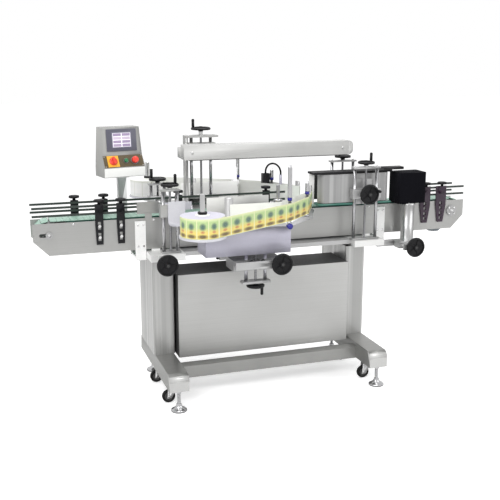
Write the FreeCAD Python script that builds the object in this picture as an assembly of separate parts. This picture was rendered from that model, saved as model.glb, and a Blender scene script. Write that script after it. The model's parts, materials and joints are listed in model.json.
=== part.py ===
"""Double-sided labelling machine: wheeled steel base, slat conveyor, two label heads,
top hold-down belt and wrap station. Millimetres, +Z up, +X is the way that goods travel.
The origin is on the floor, under the middle of the conveyor."""
import FreeCAD, Part
import math
import os
from FreeCAD import Vector

# Clearances
RUN = 0.05                 # radial play of a shaft in its bore
GAP = 0.3                  # play between flat faces that pass each other

# Base frame
BASE_X = -50.0             # middle of the base, which stands a little towards the infeed
RAIL_OFFSET = 612.0        # base middle to the middle of a foot rail
RAIL_WIDTH = 112.0
RAIL_FRONT = -535.0
RAIL_BACK = 264.0
RAIL_BOTTOM = 117.0
RAIL_HEIGHT = 97.0
RAIL_SHEET = 3.0
NOSE_RADIUS = 40.0
SEAT_PLATE = 6.0
BEAM_DEPTH = 74.0
BEAM_HEIGHT = 71.0
BEAM_FRONT = -341.0
BEAM_BACK = 150.0
FOOT_Y = (-512.0, 150.0)
FOOT_RADIUS = 45.0
FOOT_ROD = 10.0
CASTER_Y = (-385.0, -60.0)
CASTER_TRAIL = 30.0
CASTER_WHEEL = 38.0
CASTER_WHEEL_WIDTH = 24.0
CASTER_FLOOR_GAP = 3.0
KINGPIN = 6.0
AXLE = 5.0

# Columns and cabinet
COLUMN_INNER = 547.0
COLUMN_WIDTH = 128.0
COLUMN_FRONT = -172.0
COLUMN_BACK = 208.0
COLUMN_TOP = 788.0
COLUMN_WALL = 3.0
COLUMN_RADIUS = 8.0
CABINET_HALF = 538.0
CABINET_FRONT = -230.0
CABINET_BACK = 34.0
CABINET_BOTTOM = 205.0
CABINET_TOP = 705.0
CABINET_WALL = 2.0
PANEL_SHEET = 3.0
DOOR_TOP = 580.0
DOOR_SHEET = 2.0
DOOR_FRAME = 27.0
DOOR_LAP = 14.0
HINGE_PIN = 4.0
HINGE_KNUCKLE = 7.0

# Bridges and table
BRIDGE_INNER = 535.0
BRIDGE_OUTER = 737.0
BRIDGE_FRONT = -214.0
BRIDGE_HEIGHT = 39.0
BRIDGE_WALL = 5.0
TABLE_FRONT = -166.0
TABLE_HEIGHT = 25.0
TABLE_WALL = 4.0

# Conveyor
CONVEYOR_HALF = 1375.0
CONVEYOR_SIDE = 78.0       # outer face of a side plate
SIDE_SHEET = 3.0
SIDE_BOTTOM = 837.0
SIDE_TOP = 1023.0
SIDE_CHAMFER = 85.0
CHAIN_TOP = 1034.0
CHAIN_RADIUS = 79.0
CHAIN_THICK = 5.0
CHAIN_HALF_WIDTH = 65.0
SLAT_PITCH = 38.1
SLAT_GROOVE = 1.6
SHAFT_X = CONVEYOR_HALF - 90
SHAFT_RADIUS = 10.0
SHAFT_STUB = 16.0
SPROCKET_TEETH = 10
WEAR_STRIP = 9.7
TIE_RADIUS = 8.0
SUPPORT_X = 770.0
SUPPORT_WIDTH = 62.0
SUPPORT_SHEET = 8.0
SUPPORT_BOTTOM = 776.0
SUPPORT_TOP = 1007.0

# Guide rails
RAIL_BAR = 8.0
RAIL_BAR_HEIGHT = 12.0
GUIDE_Y = 67.0             # inner face of a guide rail
GUIDE_Z = (1064.0, 1109.0)
GUIDE_BRACKET_WIDTH = 46.0
GUIDE_BRACKET_THICK = 10.0
OUTFEED_BRACKET_WIDTH = 72.0
OUTFEED_BRACKETS_FROM = 1000.0
GUIDE_BRACKET_BOTTOM = 885.0
GUIDE_BRACKET_TOP = 1120.0
KNOB_RADIUS = 28.0
FRONT_GUIDE_BRACKETS = (371.0 - CONVEYOR_HALF, 494.0 - CONVEYOR_HALF,
                        CONVEYOR_HALF - 288, CONVEYOR_HALF - 173)
REAR_GUIDE_BRACKETS = (255.0 - CONVEYOR_HALF, 425.0 - CONVEYOR_HALF, -500.0, 60.0,
                       CONVEYOR_HALF - 225)

# Operator station
POST_X = -835.0
POST_WIDTH = 50.0
POST_FRONT = 95.0
POST_BOTTOM = 866.0
CONSOLE_TOP = 1533.0
CONSOLE_BOTTOM = CONSOLE_TOP - 285
CONSOLE_WIDTH = 256.0
CONSOLE_TOP_WIDTH = 230.0
CONSOLE_X = -838.0
CONSOLE_BACK = 190.0
CONSOLE_LIP_Y = 50.0
CONSOLE_LIP_TOP = CONSOLE_BOTTOM + 56
CONSOLE_SLOPE_Y = 88.0
CONSOLE_SLOPE_TOP = CONSOLE_LIP_TOP + 70
CONSOLE_FACE_Y = 104.0
CONSOLE_WALL = 2.0
CONSOLE_TURN = 12.0        # the console is turned about its post, towards the outfeed
SCREEN_RISE = 6.0
SCREEN_WIDTH = 185.0
SCREEN_HEIGHT = 127.0

# Lift units: two guide shafts, foot and top plates, and a screw with a crank
LIFT_Y = 162.0
LIFT_SHAFT = 10.0
LIFT_SCREW = 7.0
LIFT_PLATE = 10.0
LIFT_PLATE_HALF = 20.0
ALIGN_X = -610.0
ALIGN_SPREAD = 82.0
ALIGN_TOP = 1188.0
ALIGN_REAR_TOP = 1176.0
ALIGN_WHEEL = (-672.0, 798.0)
PRESS_X = 617.0
PRESS_Y = 172.0
PRESS_SPREAD = 149.0
PRESS_TOP = 1269.0
PRESS_WHEEL_Z = 1116.0

# Top hold-down belt
HOLD_X = (-440.0, -235.0)
HOLD_Y = (126.0, 196.0)
HOLD_TOP = 1468.0
HOLD_SHAFTS = (-397.0, -276.0)
HOLD_SCREW_X = -336.0
HOLD_PLATE = 12.0
BEAM_X = (-492.0, 586.0)
BEAM_HALF = 42.0
BEAM_Z = (1343.0, 1428.0)
BEAM_WALL = 3.0
BELT_DROP = 7.0
BELT_THICK = 4.0
BELT_HALF = 22.0
PULLEY_RADIUS = 32.0

# Label heads; the rear head is the mirror image of the front one across the conveyor
HEAD_X = (-488.0, 11.0)
HEAD_FRONT = -480.0
HEAD_BACK = -300.0
HEAD_BOTTOM = 857.0
DECK_BOTTOM = 1010.0
DECK_THICK = 10.0
ADJUST_Y = -450.0
ADJUST_SHAFTS = (-248.0, -134.0)
ADJUST_SCREW_X = -191.0
ADJUST_BOTTOM = 687.0
ADJUST_PLATE = 13.0
SLIDE_Z = 805.0
SLIDE_SHAFT = 12.0
SLIDE_SHAFTS = (-300.0, -104.0)
SLIDE_SCREW_X = -64.0
SLIDE_END = -512.0
CARRIAGE_Y = (-475.0, -330.0)
CARRIAGE_Z = (765.0, 825.0)
SCREW_ROOM = 18.0          # from the head screw to the carriage blocks beside it
REEL_CENTRE = (-562.0, -687.0)
ROLL_RADIUS = 116.0
ROLL_CORE = 38.0
ROLL_BOTTOM = 1034.0
LABEL_HEIGHT = 104.0
REEL_FLANGE = 124.0
POST_ONE = (0.0, -478.0)
POST_ONE_TOP = 1350.0
POST_TWO_TOP = 1228.0
POST_TWO = (176.0, -303.0)
GUIDE_POST = 9.0
PEEL_TIP = (288.0, -98.0)
PEEL_BAR = 28.0
PEEL_NOSE = 4.0
PEEL_ANGLE = 52.0
WEB_THICK = 1.0
WRAP_STEP = 0.3
DRIVE_ROLLER_AT = (-41.0, -400.0)
DRIVE_ROLLER = 25.0
REWIND_AT = (-330.0, -395.0)
SPOOL_RADIUS = 24.0
BACK_PLATE_TOP = 1158.0

# Wheels and cranks
WHEEL_RADIUS = 62.0
CRANK_RADIUS = 52.0
HANDLE_RADIUS = 9.0
HANDLE_LENGTH = 56.0

# Wrap station
PRESS_BELT_X = (325.0, 800.0)
PRESS_BELT_Y = (-146.0, -58.0)
PRESS_BELT_Z = (1045.0, 1238.0)
PRESS_TOP_LEFT = 280.0
PRESS_GUIDE_X = (282.0, 316.0)
FOAM_X = (838.0, 1030.0)
FOAM_Y = (-190.0, -52.0)
FOAM_Z = (1038.0, 1230.0)
ROLLER_X = 928.0
ROLLER_Y = -150.0
ROLLER_Z = 772.0
ROLLER_SHAFTS = (873.0, 983.0)
ROLLER_END = -252.0

# Code printer on the rear head, and its cable
CODER_X = (110.0, 158.0)
CODER_Y = (288.0, 322.0)
CODER_TOP = 1196.0
SENSOR_POST = (205.0, 215.0)
CABLE_RADIUS = 6.0
CABLE_LEG = 10.0


def block(x, y, z):
    """Box between the low and high corners given as (low, high) pairs."""
    low = Vector(min(x), min(y), min(z))
    return Part.makeBox(max(x) - min(x), max(y) - min(y), max(z) - min(z), low)


def rod(start, end, radius):
    """Solid cylinder from one point to another."""
    a, b = Vector(*start), Vector(*end)
    return Part.makeCylinder(radius, (b - a).Length, a, b - a)


def ring(start, end, outer, inner):
    """Cylinder with a bore."""
    return rod(start, end, outer).cut(rod(start, end, inner))


def prism(points, start, along):
    """Polygon of 3-D points, moved to start and extruded along a vector."""
    corners = [Vector(*p) + Vector(*start) for p in points]
    wire = Part.makePolygon(corners + corners[:1])
    return Part.Face(wire).extrude(Vector(*along))


def plan(points, low, high):
    """Polygon drawn in XY, extruded from one height to another."""
    return prism([(x, y, 0) for x, y in points], (0, 0, low), (0, 0, high - low))


def turned(profile, at, axis=(0, 0, 1)):
    """Solid of revolution: profile is (radius, height) pairs, height runs along axis from at."""
    points = [Vector(r, 0, h) for r, h in profile]
    face = Part.Face(Part.makePolygon(points + points[:1]))
    solid = face.revolve(Vector(0, 0, 0), Vector(0, 0, 1), 360)
    solid.Placement = FreeCAD.Placement(
        Vector(*at), FreeCAD.Rotation(Vector(0, 0, 1), Vector(*axis)))
    return solid


def tray(x, y, z, wall):
    """Sheet channel that is open at the bottom and closed on its other five sides."""
    inner = block((x[0] + wall, x[1] - wall), (y[0] + wall, y[1] - wall), (z[0], z[1] - wall))
    return block(x, y, z).cut(inner)


def mirrored(shape):
    """The same shape on the other side of the conveyor's middle plane."""
    return shape.mirror(Vector(0, 0, 0), Vector(0, 1, 0))


def fuse(shapes):
    """One solid from touching shapes."""
    return shapes[0].multiFuse(shapes[1:]).removeSplitter()


def cut(shape, tools):
    """Shape with every tool taken away."""
    for tool in tools:
        shape = shape.cut(tool)
    return shape


def edges_along(shape, axis, test):
    """Straight edges that run along an axis and whose middle passes a test."""
    found = []
    for edge in shape.Edges:
        if len(edge.Vertexes) != 2:
            continue
        span = edge.Vertexes[1].Point - edge.Vertexes[0].Point
        if abs(abs(span.normalize().dot(Vector(*axis))) - 1) < 1e-6:
            if test(edge.CenterOfMass):
                found.append(edge)
    return found


def wheel_body(radius):
    """Profile of a dished handwheel: hub, web and rim, as (radius, height) from the hub's back."""
    rim = 0.17 * radius
    return [(0, 0), (15, 0), (15, 10), (radius - rim, 10), (radius, 10), (radius, 22),
            (radius - rim, 26), (radius - rim, 18), (15, 30), (0, 30)]


def handwheel(at, axis, radius, handle=None):
    """Handwheel whose hub starts at a point, with a revolving handle at an angle if it has one."""
    parts = [turned(wheel_body(radius), at, axis)]
    if handle is not None:
        turn = FreeCAD.Rotation(Vector(0, 0, 1), Vector(*axis))
        reach = radius - 13
        foot = Vector(reach * math.cos(handle), reach * math.sin(handle), 20)
        foot = Vector(*at) + turn.multVec(foot)
        grip = [(0, 0), (6, 0), (HANDLE_RADIUS, 10), (HANDLE_RADIUS, HANDLE_LENGTH),
                (0, HANDLE_LENGTH)]
        parts.append(turned(grip, foot, axis))
    return fuse(parts)


def side_x(side, offset):
    """X of a point beside the base's middle."""
    return BASE_X + side * offset


def foot_rail(side):
    """Bent-sheet rail with rounded noses and a welded seat plate at each end."""
    x = (side_x(side, RAIL_OFFSET) - RAIL_WIDTH / 2, side_x(side, RAIL_OFFSET) + RAIL_WIDTH / 2)
    top = RAIL_BOTTOM + RAIL_HEIGHT

    def channel(inset, radius):
        body = block((x[0] + inset, x[1] - inset), (RAIL_FRONT + inset, RAIL_BACK - inset),
                     (RAIL_BOTTOM, top - inset))
        noses = edges_along(body, (1, 0, 0), lambda c: c.z > top - inset - 1)
        return body.makeFillet(radius, noses)

    rail = channel(0, NOSE_RADIUS).cut(channel(RAIL_SHEET, NOSE_RADIUS - RAIL_SHEET))
    inside = (x[0] + RAIL_SHEET, x[1] - RAIL_SHEET)
    level = (RAIL_BOTTOM, RAIL_BOTTOM + SEAT_PLATE)
    half = KINGPIN * 8
    rail = fuse([rail,
                 block(inside, (RAIL_FRONT + RAIL_SHEET, CASTER_Y[0] + half), level),
                 block(inside, (CASTER_Y[1] - half, RAIL_BACK - RAIL_SHEET), level)])
    middle = side_x(side, RAIL_OFFSET)
    holes = [rod((middle, y, RAIL_BOTTOM - 1), (middle, y, level[1] + 1), FOOT_ROD + GAP)
             for y in FOOT_Y]
    return cut(rail, holes)


def cross_beam(front):
    """Rectangular tube between the two foot rails."""
    reach = RAIL_OFFSET - RAIL_WIDTH / 2
    x = (BASE_X - reach, BASE_X + reach)
    y = (front, front + BEAM_DEPTH)
    z = (RAIL_BOTTOM, RAIL_BOTTOM + BEAM_HEIGHT)
    wall = RAIL_SHEET
    return block(x, y, z).cut(block(x, (y[0] + wall, y[1] - wall), (z[0] + wall, z[1] - wall)))


def caster_plate(side, y):
    """Top plate and kingpin of a caster, bolted under the rail's seat plate."""
    x = side_x(side, RAIL_OFFSET)
    plate = block((x - 35, x + 35), (y - 35, y + 35), (RAIL_BOTTOM - 5, RAIL_BOTTOM))
    return fuse([plate, rod((x, y, RAIL_BOTTOM - 20), (x, y, RAIL_BOTTOM - 5), KINGPIN)])


def base_frame():
    """Foot rails, cross beams and caster plates."""
    rails = [foot_rail(side) for side in (-1, 1)]
    beams = [cross_beam(BEAM_FRONT), cross_beam(BEAM_BACK)]
    plates = [caster_plate(side, y) for side in (-1, 1) for y in CASTER_Y]
    return rails + beams + plates


def levelling_foot(side, y):
    """Cone pad with its threaded rod and two jam nuts."""
    x = side_x(side, RAIL_OFFSET)
    seat = RAIL_BOTTOM
    top = seat + SEAT_PLATE
    body = turned([(0, 0), (FOOT_RADIUS, 0), (FOOT_RADIUS, 9), (30, 15), (15, 42),
                   (FOOT_ROD, 46), (FOOT_ROD, top + 20), (0, top + 20)], (x, y, 0))
    hexagon = [(x + 17 * math.cos(a * math.pi / 3), y + 17 * math.sin(a * math.pi / 3))
               for a in range(6)]
    return fuse([body, plan(hexagon, seat - 10, seat), plan(hexagon, top, top + 10)])


def caster_fork(side, y):
    """Swivel head with two cheeks and the wheel's axle."""
    x = side_x(side, RAIL_OFFSET)
    axle_x = x - CASTER_TRAIL
    axle_z = CASTER_WHEEL + CASTER_FLOOR_GAP
    under = RAIL_BOTTOM - 5 - GAP
    crown = under - 8
    half = CASTER_WHEEL_WIDTH / 2 + 2
    parts = [rod((x, y, crown), (x, y, under), 28),
             block((x - 34, x + 24), (y - half - 3, y + half + 3), (crown - 5, crown))]
    cheek = [(x - 34, 0, crown), (x + 24, 0, crown), (axle_x + 14, 0, axle_z - 10),
             (axle_x - 12, 0, axle_z - 10)]
    for low in (-half - 3, half):
        parts.append(prism(cheek, (0, y + low, 0), (0, 3, 0)))
    parts.append(rod((axle_x, y - half - 6, axle_z), (axle_x, y + half + 6, axle_z), AXLE))
    bore = rod((x, y, crown - 6), (x, y, under + 1), KINGPIN + RUN)
    return fuse(parts).cut(bore)


def caster_wheel(side, y):
    """Tyred wheel with a narrower hub."""
    x = side_x(side, RAIL_OFFSET) - CASTER_TRAIL
    z = CASTER_WHEEL + CASTER_FLOOR_GAP
    half = CASTER_WHEEL_WIDTH / 2
    r = CASTER_WHEEL
    bore = AXLE + RUN
    profile = [(bore, -half), (r - 4, -half), (r, 4 - half), (r, half - 4), (r - 4, half),
               (bore, half)]
    return turned(profile, (x, y, z), (0, 1, 0))


def side_column(side):
    """Upright of bent sheet, open at both ends."""
    x = sorted((side_x(side, COLUMN_INNER), side_x(side, COLUMN_INNER + COLUMN_WIDTH)))
    z = (RAIL_BOTTOM + RAIL_HEIGHT, COLUMN_TOP)

    def tube(inset, radius):
        body = block((x[0] + inset, x[1] - inset), (COLUMN_FRONT + inset, COLUMN_BACK - inset), z)
        return body.makeFillet(radius, edges_along(body, (0, 0, 1), lambda c: True))

    return tube(0, COLUMN_RADIUS).cut(tube(COLUMN_WALL, COLUMN_RADIUS - COLUMN_WALL))


def cabinet_shell():
    """Sheet case, open to the front panel, with a framed door opening at the back."""
    x = (side_x(-1, CABINET_HALF), side_x(1, CABINET_HALF))
    y = (CABINET_FRONT, CABINET_BACK)
    z = (CABINET_BOTTOM, CABINET_TOP)
    wall = CABINET_WALL
    shell = block(x, y, z).cut(block((x[0] + wall, x[1] - wall), (y[0], y[1] - wall),
                                     (z[0] + wall, z[1] - wall)))
    opening = block((x[0] + DOOR_FRAME, x[1] - DOOR_FRAME), (y[1] - 5, y[1] + 1),
                    (z[0] + DOOR_FRAME, DOOR_TOP - DOOR_LAP))
    shell = shell.cut(opening)
    parts = [shell]
    for side in (-1, 1):
        for low in (260, 620):
            parts.append(block((side_x(side, CABINET_HALF), side_x(side, COLUMN_INNER)),
                               (-120, -60), (low, low + 40)))
    hinge_x, hinge_y = hinge_axis()
    for low in (290, 500):
        pin = rod((hinge_x, hinge_y, low), (hinge_x, hinge_y, low + 60), HINGE_PIN)
        leaf = block((x[0], hinge_x), (CABINET_BACK, hinge_y), (low, low + 10))
        leaf = leaf.fuse(leaf.translated(Vector(0, 0, 50)))
        ends = [rod((hinge_x, hinge_y, at), (hinge_x, hinge_y, at + 10), HINGE_KNUCKLE)
                for at in (low, low + 50)]
        parts.append(fuse([pin, leaf] + ends))
    gland_x = side_x(1, CABINET_HALF - 120)
    parts.append(turned([(0, 0), (9, 0), (13, 8), (16, 10), (16, 20), (0, 20)],
                        (gland_x, -60, CABINET_BOTTOM - 20)))
    return parts


def hinge_axis():
    """Where the rear door's hinge pins stand."""
    return side_x(-1, CABINET_HALF - HINGE_KNUCKLE), CABINET_BACK + HINGE_KNUCKLE + GAP


def front_panel():
    """Plain front sheet whose returned edges sit inside the case."""
    x = (side_x(-1, CABINET_HALF), side_x(1, CABINET_HALF))
    z = (CABINET_BOTTOM, CABINET_TOP)
    face = block(x, (CABINET_FRONT - PANEL_SHEET, CABINET_FRONT), z)
    face = face.makeFillet(PANEL_SHEET - 1, edges_along(
        face, (0, 0, 1), lambda c: c.y < CABINET_FRONT - 1))
    inset = CABINET_WALL + GAP
    depth = (CABINET_FRONT, CABINET_FRONT + 15)
    outer = block((x[0] + inset, x[1] - inset), depth, (z[0] + inset, z[1] - inset))
    inset += CABINET_WALL
    inner = block((x[0] + inset, x[1] - inset), depth, (z[0] + inset, z[1] - inset))
    return [fuse([face, outer.cut(inner)])]


def rear_door():
    """Door that laps the opening at the back, with its knuckles and a turn latch."""
    lap = DOOR_FRAME - DOOR_LAP
    x = (side_x(-1, CABINET_HALF) + lap, side_x(1, CABINET_HALF) - lap)
    y = (CABINET_BACK + GAP, CABINET_BACK + GAP + DOOR_SHEET)
    z = (CABINET_BOTTOM + lap, DOOR_TOP)
    sheet = block(x, y, z)
    lip = 8
    fold = block((x[0] + 20, x[1]), (y[1], y[1] + lip), z)
    fold = fold.cut(block((x[0] + 22, x[1] - 2), (y[1], y[1] + lip), (z[0] + 2, z[1] - 2)))
    parts = [sheet, fold]
    hinge_x, hinge_y = hinge_axis()
    for low in (290, 500):
        at = (low + 10 + GAP, low + 50 - GAP)
        parts.append(rod((hinge_x, hinge_y, at[0]), (hinge_x, hinge_y, at[1]), HINGE_KNUCKLE))
        parts.append(block((hinge_x, hinge_x + 18), (y[1] - 1, hinge_y), at))
    door = fuse(parts)
    for low in (290, 500):
        door = door.cut(rod((hinge_x, hinge_y, low), (hinge_x, hinge_y, low + 60),
                            HINGE_PIN + RUN))
    latch_x = x[1] - 45
    latch = turned([(0, 0), (16, 0), (16, 6), (12, 12), (0, 12)],
                   (latch_x, y[1], (z[0] + z[1]) / 2), (0, 1, 0))
    grip = block((latch_x - 4, latch_x + 4), (y[1] + 12, y[1] + 24),
                 ((z[0] + z[1]) / 2 - 22, (z[0] + z[1]) / 2 + 10))
    return [door, fuse([latch, grip])]


def electrical_plate():
    """Mounting plate in the cabinet with the drives, controller, supply and terminals on it."""
    back = -205
    reach = CABINET_HALF - CABINET_WALL - GAP
    x = (BASE_X - reach, BASE_X + reach)
    parts = [block(x, (back, back + 3), (260, 660))]
    front = back + 3
    modules = ((-420, 110, 170, 130), (-280, 110, 170, 130), (-140, 110, 170, 130),
               (40, 210, 110, 85), (290, 120, 130, 60))
    for left, width, height, depth in modules:
        low = 460
        parts.append(block((BASE_X + left, BASE_X + left + width), (front, front + depth),
                           (low, low + height)))
    parts.append(block((BASE_X - 400, BASE_X + 400), (front, front + 45), (300, 345)))
    parts.append(block((BASE_X - 400, BASE_X + 400), (front, front + 60), (390, 430)))
    return parts


def bridge_channel(side):
    """Inverted channel across the top of a column, which carries the adjusters."""
    x = sorted((side * BRIDGE_INNER, side * BRIDGE_OUTER))
    return tray(x, (BRIDGE_FRONT, -BRIDGE_FRONT), (COLUMN_TOP, COLUMN_TOP + BRIDGE_HEIGHT),
                BRIDGE_WALL)


def table_plate():
    """Folded plate between the bridges."""
    top = COLUMN_TOP + BRIDGE_HEIGHT
    return [tray((-BRIDGE_INNER, BRIDGE_INNER), (TABLE_FRONT, -TABLE_FRONT),
                 (top - TABLE_HEIGHT, top), TABLE_WALL)]


def chain_centre():
    """Height of the conveyor's two shafts."""
    return CHAIN_TOP - CHAIN_RADIUS


def side_plate():
    """Front conveyor side plate with cut corners, take-up slot, shaft hole and bottom lip."""
    half, low = CONVEYOR_HALF, SIDE_BOTTOM + SIDE_CHAMFER
    outline = [(SIDE_CHAMFER - half, SIDE_BOTTOM), (half - SIDE_CHAMFER, SIDE_BOTTOM),
               (half, low), (half, SIDE_TOP), (-half, SIDE_TOP), (-half, low)]
    plate = prism([(x, 0, z) for x, z in outline], (0, -CONVEYOR_SIDE, 0), (0, SIDE_SHEET, 0))
    inner = -CONVEYOR_SIDE + SIDE_SHEET
    lip = block((SIDE_CHAMFER + 10 - half, half - SIDE_CHAMFER - 10), (inner, inner + 15),
                (SIDE_BOTTOM, SIDE_BOTTOM + SIDE_SHEET))
    z = chain_centre()
    across = (-CONVEYOR_SIDE - 1, inner + 1)
    reach = 45
    slot = fuse([block((-SHAFT_X - reach, -SHAFT_X + 10), across, (z - 10.5, z + 10.5)),
                 rod((-SHAFT_X + 10, across[0], z), (-SHAFT_X + 10, across[1], z), 10.5),
                 rod((-SHAFT_X - reach, across[0], z), (-SHAFT_X - reach, across[1], z), 10.5)])
    hole = rod((SHAFT_X, across[0], z), (SHAFT_X, across[1], z), SHAFT_RADIUS + 1)
    return cut(fuse([plate, lip]), [slot, hole])


def shaft_bearing(x, outer):
    """Flange bearing on the outside of a side plate."""
    z = chain_centre()
    face = -CONVEYOR_SIDE
    return ring((x, face - 12, z), (x, face, z), outer, SHAFT_RADIUS + RUN)


def conveyor_side_plates():
    """Two side plates, each with the bearings of the drive and tail shafts."""
    front = [side_plate(), shaft_bearing(SHAFT_X, 34), shaft_bearing(-SHAFT_X, 20)]
    return front + [mirrored(s) for s in front]


def conveyor_cross_ties():
    """Round ties between the side plates, and the wear strips that the slats run on."""
    inside = CONVEYOR_SIDE - SIDE_SHEET
    strip_top = CHAIN_TOP - CHAIN_THICK - GAP
    tie_z = strip_top - WEAR_STRIP - TIE_RADIUS
    ties = [rod((x, -inside, tie_z), (x, inside, tie_z), TIE_RADIUS)
            for x in range(-1150, 1151, 460)]
    low = CHAIN_TOP - 2 * CHAIN_RADIUS - GAP - TIE_RADIUS
    ties += [rod((x, -inside, low), (x, inside, low), TIE_RADIUS) for x in (-920, 0, 920)]
    strips = [block((95 - SHAFT_X, SHAFT_X - 95), (y - 10, y + 10), (strip_top - WEAR_STRIP, strip_top))
              for y in (-42, 42)]
    return ties + strips


def slat_chain():
    """Endless band of slats with a hinge groove at every pitch, top and bottom."""
    z = chain_centre()
    count = int(2 * SHAFT_X / SLAT_PITCH)
    first = -count * SLAT_PITCH / 2
    depth = SLAT_GROOVE

    def run(level, inwards):
        points = [(-SHAFT_X, level)]
        for index in range(count + 1):
            x = first + index * SLAT_PITCH
            points += [(x - depth, level), (x, level + inwards * depth), (x + depth, level)]
        return points + [(SHAFT_X, level)]

    def flat(points):
        return [Part.makeLine(Vector(a[0], 0, a[1]), Vector(b[0], 0, b[1]))
                for a, b in zip(points, points[1:])]

    def bend(x, radius, bulge):
        return Part.Arc(Vector(x, 0, z + radius), Vector(x + bulge * radius, 0, z),
                        Vector(x, 0, z - radius)).toShape()

    outer = flat(run(CHAIN_TOP, -1)) + [bend(SHAFT_X, CHAIN_RADIUS, 1)]
    outer += flat(run(CHAIN_TOP - 2 * CHAIN_RADIUS, 1)) + [bend(-SHAFT_X, CHAIN_RADIUS, -1)]
    inner_radius = CHAIN_RADIUS - CHAIN_THICK
    ends = ((-SHAFT_X, z + inner_radius), (SHAFT_X, z + inner_radius))
    ends_low = ((-SHAFT_X, z - inner_radius), (SHAFT_X, z - inner_radius))
    inner = flat(ends) + [bend(SHAFT_X, inner_radius, 1)] + flat(ends_low)
    inner += [bend(-SHAFT_X, inner_radius, -1)]
    faces = [Part.Face(Part.Wire(Part.__sortEdges__(edges))) for edges in (outer, inner)]
    band = faces[0].cut(faces[1]).extrude(Vector(0, 2 * CHAIN_HALF_WIDTH, 0))
    return [band.translated(Vector(0, -CHAIN_HALF_WIDTH, 0))]


def sprocket_shaft(x, front, back, stub=0):
    """Shaft with two toothed wheels that stay inside the chain, and a stepped-down front end."""
    z = chain_centre()
    radius = CHAIN_RADIUS - CHAIN_THICK - GAP
    parts = [rod((x, front, z), (x, back, z), SHAFT_RADIUS)]
    if stub:
        parts.append(rod((x, front - stub, z), (x, front, z), SHAFT_RADIUS - 2))
    for y in (-38, 22):
        parts.append(rod((x, y, z), (x, y + 16, z), radius))
    shaft = fuse(parts)
    for tooth in range(SPROCKET_TEETH):
        angle = 2 * math.pi * tooth / SPROCKET_TEETH
        at_x, at_z = x + radius * math.cos(angle), z + radius * math.sin(angle)
        shaft = shaft.cut(rod((at_x, -39, at_z), (at_x, 39, at_z), 8))
    return [shaft]


def conveyor_gearmotor():
    """Worm gearbox on the rear bearing of the drive shaft, with its motor hanging below."""
    z = chain_centre()
    face = CONVEYOR_SIDE + 12
    box = block((SHAFT_X - 52, SHAFT_X + 52), (face, face + 84), (z - 52, z + 58))
    box = box.makeFillet(10, edges_along(box, (0, 1, 0), lambda c: True))
    box = box.cut(rod((SHAFT_X, face - 1, z), (SHAFT_X, face + 40, z), SHAFT_RADIUS + RUN))
    motor = turned([(0, 0), (38, 0), (44, 6), (44, 110), (50, 112), (50, 122), (0, 122)],
                   (SHAFT_X, face + 42, z - 52 - 122))
    terminal = block((SHAFT_X - 35, SHAFT_X + 35), (face + 42 + 40, face + 42 + 72),
                     (z - 140, z - 80))
    return [box, fuse([motor, terminal])]


def conveyor_support(side):
    """Cradle: two upright plates, a cross plate against the bridge, and gussets below."""
    x = sorted((side * (SUPPORT_X - SUPPORT_WIDTH / 2), side * (SUPPORT_X + SUPPORT_WIDTH / 2)))
    seat = sorted((side * BRIDGE_OUTER, side * (SUPPORT_X + SUPPORT_WIDTH / 2)))
    out = CONVEYOR_SIDE + SUPPORT_SHEET
    parts = [block(seat, (-CONVEYOR_SIDE, CONVEYOR_SIDE), (COLUMN_TOP, COLUMN_TOP + 12))]
    for low, high in ((-out, -CONVEYOR_SIDE), (CONVEYOR_SIDE, out)):
        parts.append(block(x, (low, high), (SUPPORT_BOTTOM, SUPPORT_TOP)))
    foot = COLUMN_TOP
    for y in (-40, 34):
        corners = [(seat[0], 0, foot), (seat[1], 0, foot), (side * SUPPORT_X, 0, foot - 30)]
        parts.append(prism(corners, (0, y, 0), (0, 6, 0)))
    return fuse(parts)


def conveyor_supports():
    """Both cradles, and the packers between the bridges and the side plates."""
    top = COLUMN_TOP + BRIDGE_HEIGHT
    packers = [block((x - 25, x + 25), sorted((side * (CONVEYOR_SIDE - 15), side * CONVEYOR_SIDE)),
                     (top, SIDE_BOTTOM))
               for x in (-680, 680) for side in (-1, 1)]
    return [conveyor_support(-1), conveyor_support(1)] + packers


def guide_bar(x, side, level):
    """One dark guide bar beside the goods."""
    y = sorted((side * GUIDE_Y, side * (GUIDE_Y + RAIL_BAR)))
    return block(x, y, (level - RAIL_BAR_HEIGHT / 2, level + RAIL_BAR_HEIGHT / 2))


def guide_rails():
    """Guide bars in pairs, and the flat guide plate before the label heads."""
    end = CONVEYOR_HALF
    parts = []
    for level in GUIDE_Z:
        parts.append(guide_bar((-end, -785), -1, level))
        parts.append(guide_bar((1085, end), -1, level))
        parts.append(guide_bar((-end, 180), 1, level))
        parts.append(guide_bar((1085, end), 1, level))
    parts.append(block((-785, -655), (-GUIDE_Y - 3, -GUIDE_Y), (1046, 1116)))
    parts.append(block((-740, -700), (-CONVEYOR_SIDE, -GUIDE_Y - 3), (1023, 1050)))
    return parts


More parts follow.
